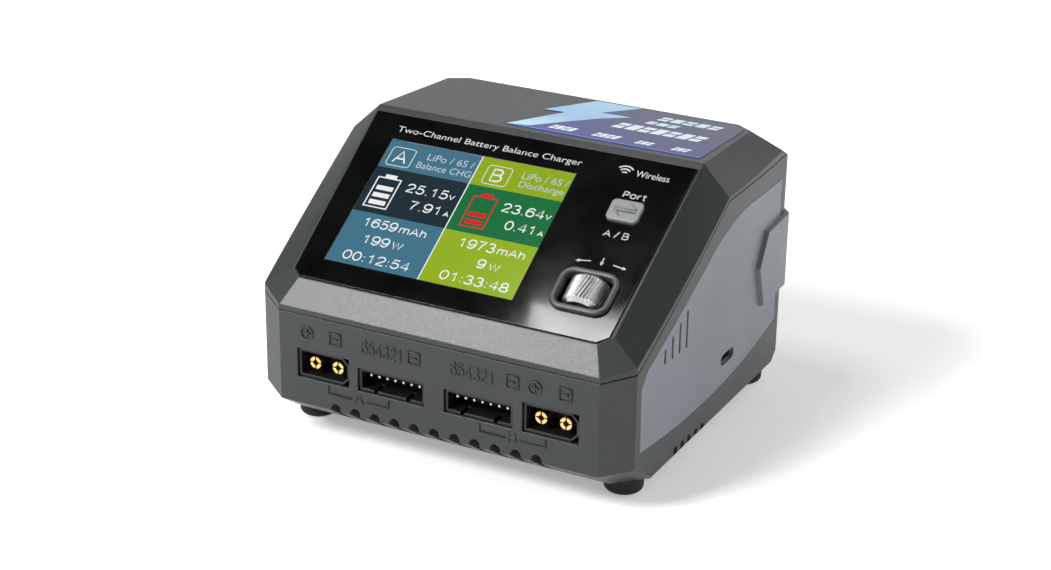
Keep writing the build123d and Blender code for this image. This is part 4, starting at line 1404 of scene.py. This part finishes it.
@dataclass
class LabelPrint:
    """What is printed on the label: a pale bolt, plain slanted bars and a bright front edge."""

    face: Face
    ink: float = 0.02

    def build(self) -> None:
        """Prints the bolt, the bars and the bright front line."""
        bolt_print = BOLT_PRINT.material()
        white = LABEL_WHITE.material()
        bolt = [
            (-11.2, 3.3),
            (-2.6, 22.9),
            (-9.1, 22.2),
            (-0.2, 38.9),
            (14.0, 38.9),
            (6.0, 28.2),
            (15.4, 28.8),
            (8.5, 22.6),
            (2.0, 14.4),
            (-4.6, 5.2),
        ]
        self.add("bolt", [bolt], bolt_print)
        self.add("front_line", [rectangle(-10.0, 3.3, 47.3, 3.9)], EDGE_PRINT.material())
        rows = [
            (22.3, 30.6, 19.2, 3.8, 5),
            (20.8, 25.6, 10.2, 2.8, 3),
            (14.4, 17.2, 27.2, 5.4, 7),
            (0.2, 6.2, 7.6, 3.6, 4),
            (13.6, 6.2, 7.6, 3.6, 4),
            (26.6, 6.2, 4.9, 3.0, 3),
            (37.5, 6.2, 4.9, 3.0, 3),
        ]
        for place, (left, low, wide, high, count) in enumerate(rows):
            self.add(f"bars_{place}", self.slanted_bars(left, low, wide, high, count), white)

    def slanted_bars(self, left: float, low: float, wide: float, high: float, count: int) -> list[Outline]:
        """Gives a row of slanted bars with a slit through every other one.

        Args:
            left: where the row starts.
            low: its lower edge.
            wide: its width.
            high: its height.
            count: how many bars it has.

        Returns:
            The outlines, in millimetres.
        """
        pitch = wide / count
        bar = pitch * 0.8
        lean = high * 0.25
        shapes = []
        for step in range(count):
            start = left + pitch * step
            parts = [(0.0, 1.0)] if step % 2 else [(0.0, 0.42), (0.58, 1.0)]
            for foot, head in parts:
                shapes.append(
                    [
                        (start + lean * foot, low + high * foot),
                        (start + bar + lean * foot, low + high * foot),
                        (start + bar + lean * head, low + high * head),
                        (start + lean * head, low + high * head),
                    ]
                )
        return shapes

    def add(self, name: str, outlines: list[Outline], material: bpy.types.Material) -> None:
        """Prints one shape.

        Args:
            name: what the shape is.
            outlines: its closed outlines in millimetres.
            material: its ink.
        """
        shape = cut_shape(f"label_{name}", outlines, self.face, 0.15, self.ink)
        settle(shape, "charger", material)


@dataclass
class KnurledRoller:
    """The metal roller: slightly leaning ridges between two plain chamfered ends."""

    face: Face
    centre_across: float = 35.5
    centre_up: float = 13.9
    axis_depth: float = 2.9
    diameter: float = 12.0
    length: float = 9.2
    ridges: int = 36
    ridge_depth: float = 0.26
    lean_deg: float = 12.0
    chamfer: float = 1.2
    bore: float = 0.65
    rows: int = 26
    points_per_ridge: int = 8
    sharp_deg: float = 40.0

    def build(self) -> None:
        """Makes the roller about its axle in place of its plain solid."""
        shell = bmesh.new()
        rings = [self.add_ring(shell, up, radius, cut) for up, radius, cut in self.profile()]
        for low, high in zip(rings, rings[1:]):
            for k in range(len(low)):
                following = (k + 1) % len(low)
                shell.faces.new((low[k], low[following], high[following], high[k]))
        mesh = bpy.data.meshes.new("knurled_roller")
        shell.to_mesh(mesh)
        shell.free()
        for polygon in mesh.polygons:
            polygon.use_smooth = True
        mesh.set_sharp_from_angle(angle=math.radians(self.sharp_deg))
        mesh.transform(self.face.place(self.centre_across, self.centre_up, -self.axis_depth))
        piece = new_object("knurled_roller", mesh)
        settle(piece, "wheel", ROLLER_ALUMINIUM.material())
        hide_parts("scroll_wheel")

    def profile(self) -> list[tuple[float, float, float]]:
        """Gives the roller's section from its lower bore to its upper one.

        Returns:
            For each ring its place along the axis, its radius and how deep the knurl cuts, in millimetres.
        """
        half, radius = self.length / 2, self.diameter / 2
        ends = [
            (half, self.bore, 0.0),
            (half, radius - self.chamfer, 0.0),
            (half - self.chamfer * 0.95, radius - 0.12, 0.0),
        ]
        knurled = half - self.chamfer * 0.95 - 0.05
        body = [
            (-knurled + 2 * knurled * k / self.rows, radius, self.ridge_depth) for k in range(self.rows + 1)
        ]
        lower = [(-up, wide, cut) for up, wide, cut in ends]
        return lower + body + ends[::-1]

    def add_ring(
        self, shell: bmesh.types.BMesh, up: float, radius: float, cut: float
    ) -> list[bmesh.types.BMVert]:
        """Adds one ring of points about the axis.

        Args:
            shell: the mesh being built.
            up: the ring's place along the axis.
            radius: its radius.
            cut: how deep the knurl's grooves go.

        Returns:
            The ring's points in order.
        """
        count = self.ridges * self.points_per_ridge
        points = []
        for k in range(count):
            turn = math.tau * k / count
            shift = up * math.tan(math.radians(self.lean_deg)) / (self.diameter / 2)
            wave = 0.5 + 0.5 * math.cos((turn + shift) * self.ridges)
            reach = (radius - cut * (1 - wave**0.7)) * MM
            points.append(shell.verts.new((reach * math.cos(turn), up * MM, reach * math.sin(turn))))
        return points


@dataclass
class PortKey:
    """The raised arrows moulded on the port button's top."""

    face: Face
    material: bpy.types.Material
    centre_across: float = 35.8
    centre_up: float = 40.9
    stand: float = 0.9
    raised: float = 0.3

    def build(self) -> None:
        """Makes the two opposite half arrows."""
        half_arrow = [
            (-3.3, 0.3),
            (3.3, 0.3),
            (3.3, 0.72),
            (1.35, 2.1),
            (0.75, 2.1),
            (2.1, 0.72),
            (-3.3, 0.72),
        ]
        for name, way in (("right", 1.0), ("left", -1.0)):
            outline = [(self.centre_across + way * x, self.centre_up + way * y) for x, y in half_arrow]
            piece = cut_shape(f"button_arrow_{name}", [outline], self.face, self.stand - 0.03, self.raised)
            settle(piece, "button", self.material)


@dataclass
class Studio:
    """The pale floor, the soft lights and the camera."""

    camera_place: tuple[float, float, float] = (0.26531, -0.51217, 0.27726)
    camera_right: tuple[float, float, float] = (0.8845, 0.46632, 0.01418)
    camera_up: tuple[float, float, float] = (-0.19181, 0.33577, 0.92221)
    camera_forward: tuple[float, float, float] = (-0.42528, 0.81842, -0.38643)
    lens_mm: float = 76.0

    def build(self) -> None:
        """Makes the studio."""
        self.add_floor()
        self.add_light("front_left", (-0.6, -0.9, 0.97), (0.46, 0.42), (0.0, 0.0, 0.05), 20.5)
        self.add_light("glass_sheen", (-0.35, -0.256, 1.2), (0.32, 0.36), (-0.35, -0.256, 0.0), 4.1)
        self.add_light("side", (1.5, 0.95, 0.6), (0.9, 0.7), (0.0, 0.0, 0.05), 10.0)
        self.add_light("back_left", (-0.55, 1.15, 0.62), (1.3, 0.7), (0.0, 0.0, 0.05), 2.4)
        self.add_light("back", (0.9, 1.2, 1.2), (1.2, 0.8), (0.0, 0.0, 0.05), 7.0)
        self.add_world()
        self.add_camera()

    def add_floor(self) -> None:
        """Lays the pale floor under the feet."""
        mesh = bpy.data.meshes.new("floor")
        mesh.from_pydata([(-6, -6, 0), (6, -6, 0), (6, 6, 0), (-6, 6, 0)], [], [(0, 1, 2, 3)])
        floor = new_object("floor", mesh)
        material, tree = new_material("paper_backdrop_pale")
        place = add_node(tree, "TexCoord").outputs["Object"]
        away = add_node(tree, "VectorMath", {"operation": "LENGTH"}, {"Vector": place})
        # The soft boxes don't reach the far paper, so its glow rises from 0.6 m to 2.6 m out.
        glow = add_node(
            tree,
            "MapRange",
            {"From Min": 0.6, "From Max": 2.6, "To Min": 0.35, "To Max": 0.95},
            {"Value": away.outputs["Value"]},
        )
        surfaced(
            material,
            tree,
            {
                "Base Color": linear("#efefee"),
                "Roughness": 0.9,
                "Specular IOR Level": 0.2,
                "Emission Color": linear("#ffffff"),
            },
            {"Emission Strength": glow.outputs["Result"]},
        )
        mesh.materials.append(material)

    def add_light(
        self,
        name: str,
        place: tuple[float, float, float],
        size: tuple[float, float],
        target: tuple[float, float, float],
        power: float,
    ) -> None:
        """Hangs one soft box.

        Args:
            name: the light's name.
            place: its middle, in metres.
            size: its width and height.
            target: the point that it faces.
            power: its power in watts.
        """
        lamp = bpy.data.lights.new(name, "AREA")
        lamp.shape = "RECTANGLE"
        lamp.size, lamp.size_y = size
        lamp.energy = power
        light = new_object(name, lamp)
        light.location = place
        light.rotation_euler = (Vector(target) - Vector(place)).to_track_quat("-Z", "Y").to_euler()

    def add_world(self) -> None:
        """Sets the room: pale low down and dim overhead, so that the glass stays dark."""
        world = bpy.data.worlds.new("room")
        world.use_nodes = True
        tree = world.node_tree
        tree.nodes.clear()
        way = add_node(tree, "TexCoord").outputs["Generated"]
        split = add_node(tree, "SeparateXYZ", links={"Vector": way})
        heights = [(0.0, "#f2f2f2"), (0.3, "#9a9c9e"), (0.62, "#1c1d1e")]
        tone = colour_steps(tree, split.outputs["Z"], heights)
        room = add_node(tree, "Background", {"Strength": 0.8}, {"Color": tone})
        add_node(tree, "OutputWorld", links={"Surface": room.outputs["Background"]})
        bpy.context.scene.world = world

    def add_camera(self) -> None:
        """Sets the camera."""
        lens = bpy.data.cameras.new("camera")
        lens.lens = self.lens_mm
        lens.sensor_width = 36.0
        lens.clip_start = 0.01
        camera = new_object("camera", lens)
        right, up, forward = Vector(self.camera_right), Vector(self.camera_up), Vector(self.camera_forward)
        turn = Matrix((right, up, -forward)).transposed()
        camera.matrix_world = Matrix.Translation(Vector(self.camera_place)) @ turn.to_4x4()
        bpy.context.scene.camera = camera
        bpy.context.scene.view_settings.view_transform = "Standard"


def display_face(slope_deg: float = 33.0, glass_length: float = 58.9) -> Face:
    """Gives the cover glass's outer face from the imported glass.

    Args:
        slope_deg: how far the glass leans back from level.
        glass_length: the glass's length up the slope, in millimetres.

    Returns:
        The face, its corner at the middle of the lower edge.
    """
    low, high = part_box("display_glass")
    lean = math.radians(slope_deg)
    corner = Vector(((low.x + high.x) / 2, low.y, high.z - glass_length * MM * math.sin(lean)))
    return Face(corner, Vector((1, 0, 0)), Vector((0, math.cos(lean), math.sin(lean))))


def front_face() -> Face:
    """Gives the upright front of the casing, its corner on the floor at the middle."""
    low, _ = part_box("lower_shell")
    return Face(Vector((0, low.y, 0)), Vector((1, 0, 0)), Vector((0, 0, 1)))


def top_face(first_edge: float = 3.2) -> Face:
    """Gives the top of the casing under the label.

    Args:
        first_edge: how far the label's front edge stands back from the top's own, in millimetres.

    Returns:
        The face, its corner on the top's front edge.
    """
    low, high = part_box("top_label")
    _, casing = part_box("upper_shell")
    fall = Vector((0.0, high.y - low.y, low.z - high.z + 0.15 * MM)).normalized()
    return Face(Vector((0.0, low.y - first_edge * MM * fall.y, casing.z)), Vector((1, 0, 0)), fall)


def main() -> None:
    """Builds and dresses the charger, then the studio."""
    logging.basicConfig(level=logging.INFO, format="%(name)s: %(message)s")
    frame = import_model()
    CastParts(frame["nodes"]).dress()
    display = display_face()
    ScreenPicture(display).build()
    GlassMarkings(display).build()
    FrontMarkings(front_face(), CASING_ABS.material()).build()
    LabelPrint(top_face()).build()
    KnurledRoller(display).build()
    PortKey(display, BUTTON_ABS.material()).build()
    Studio().build()


if __name__ == "__main__":
    main()
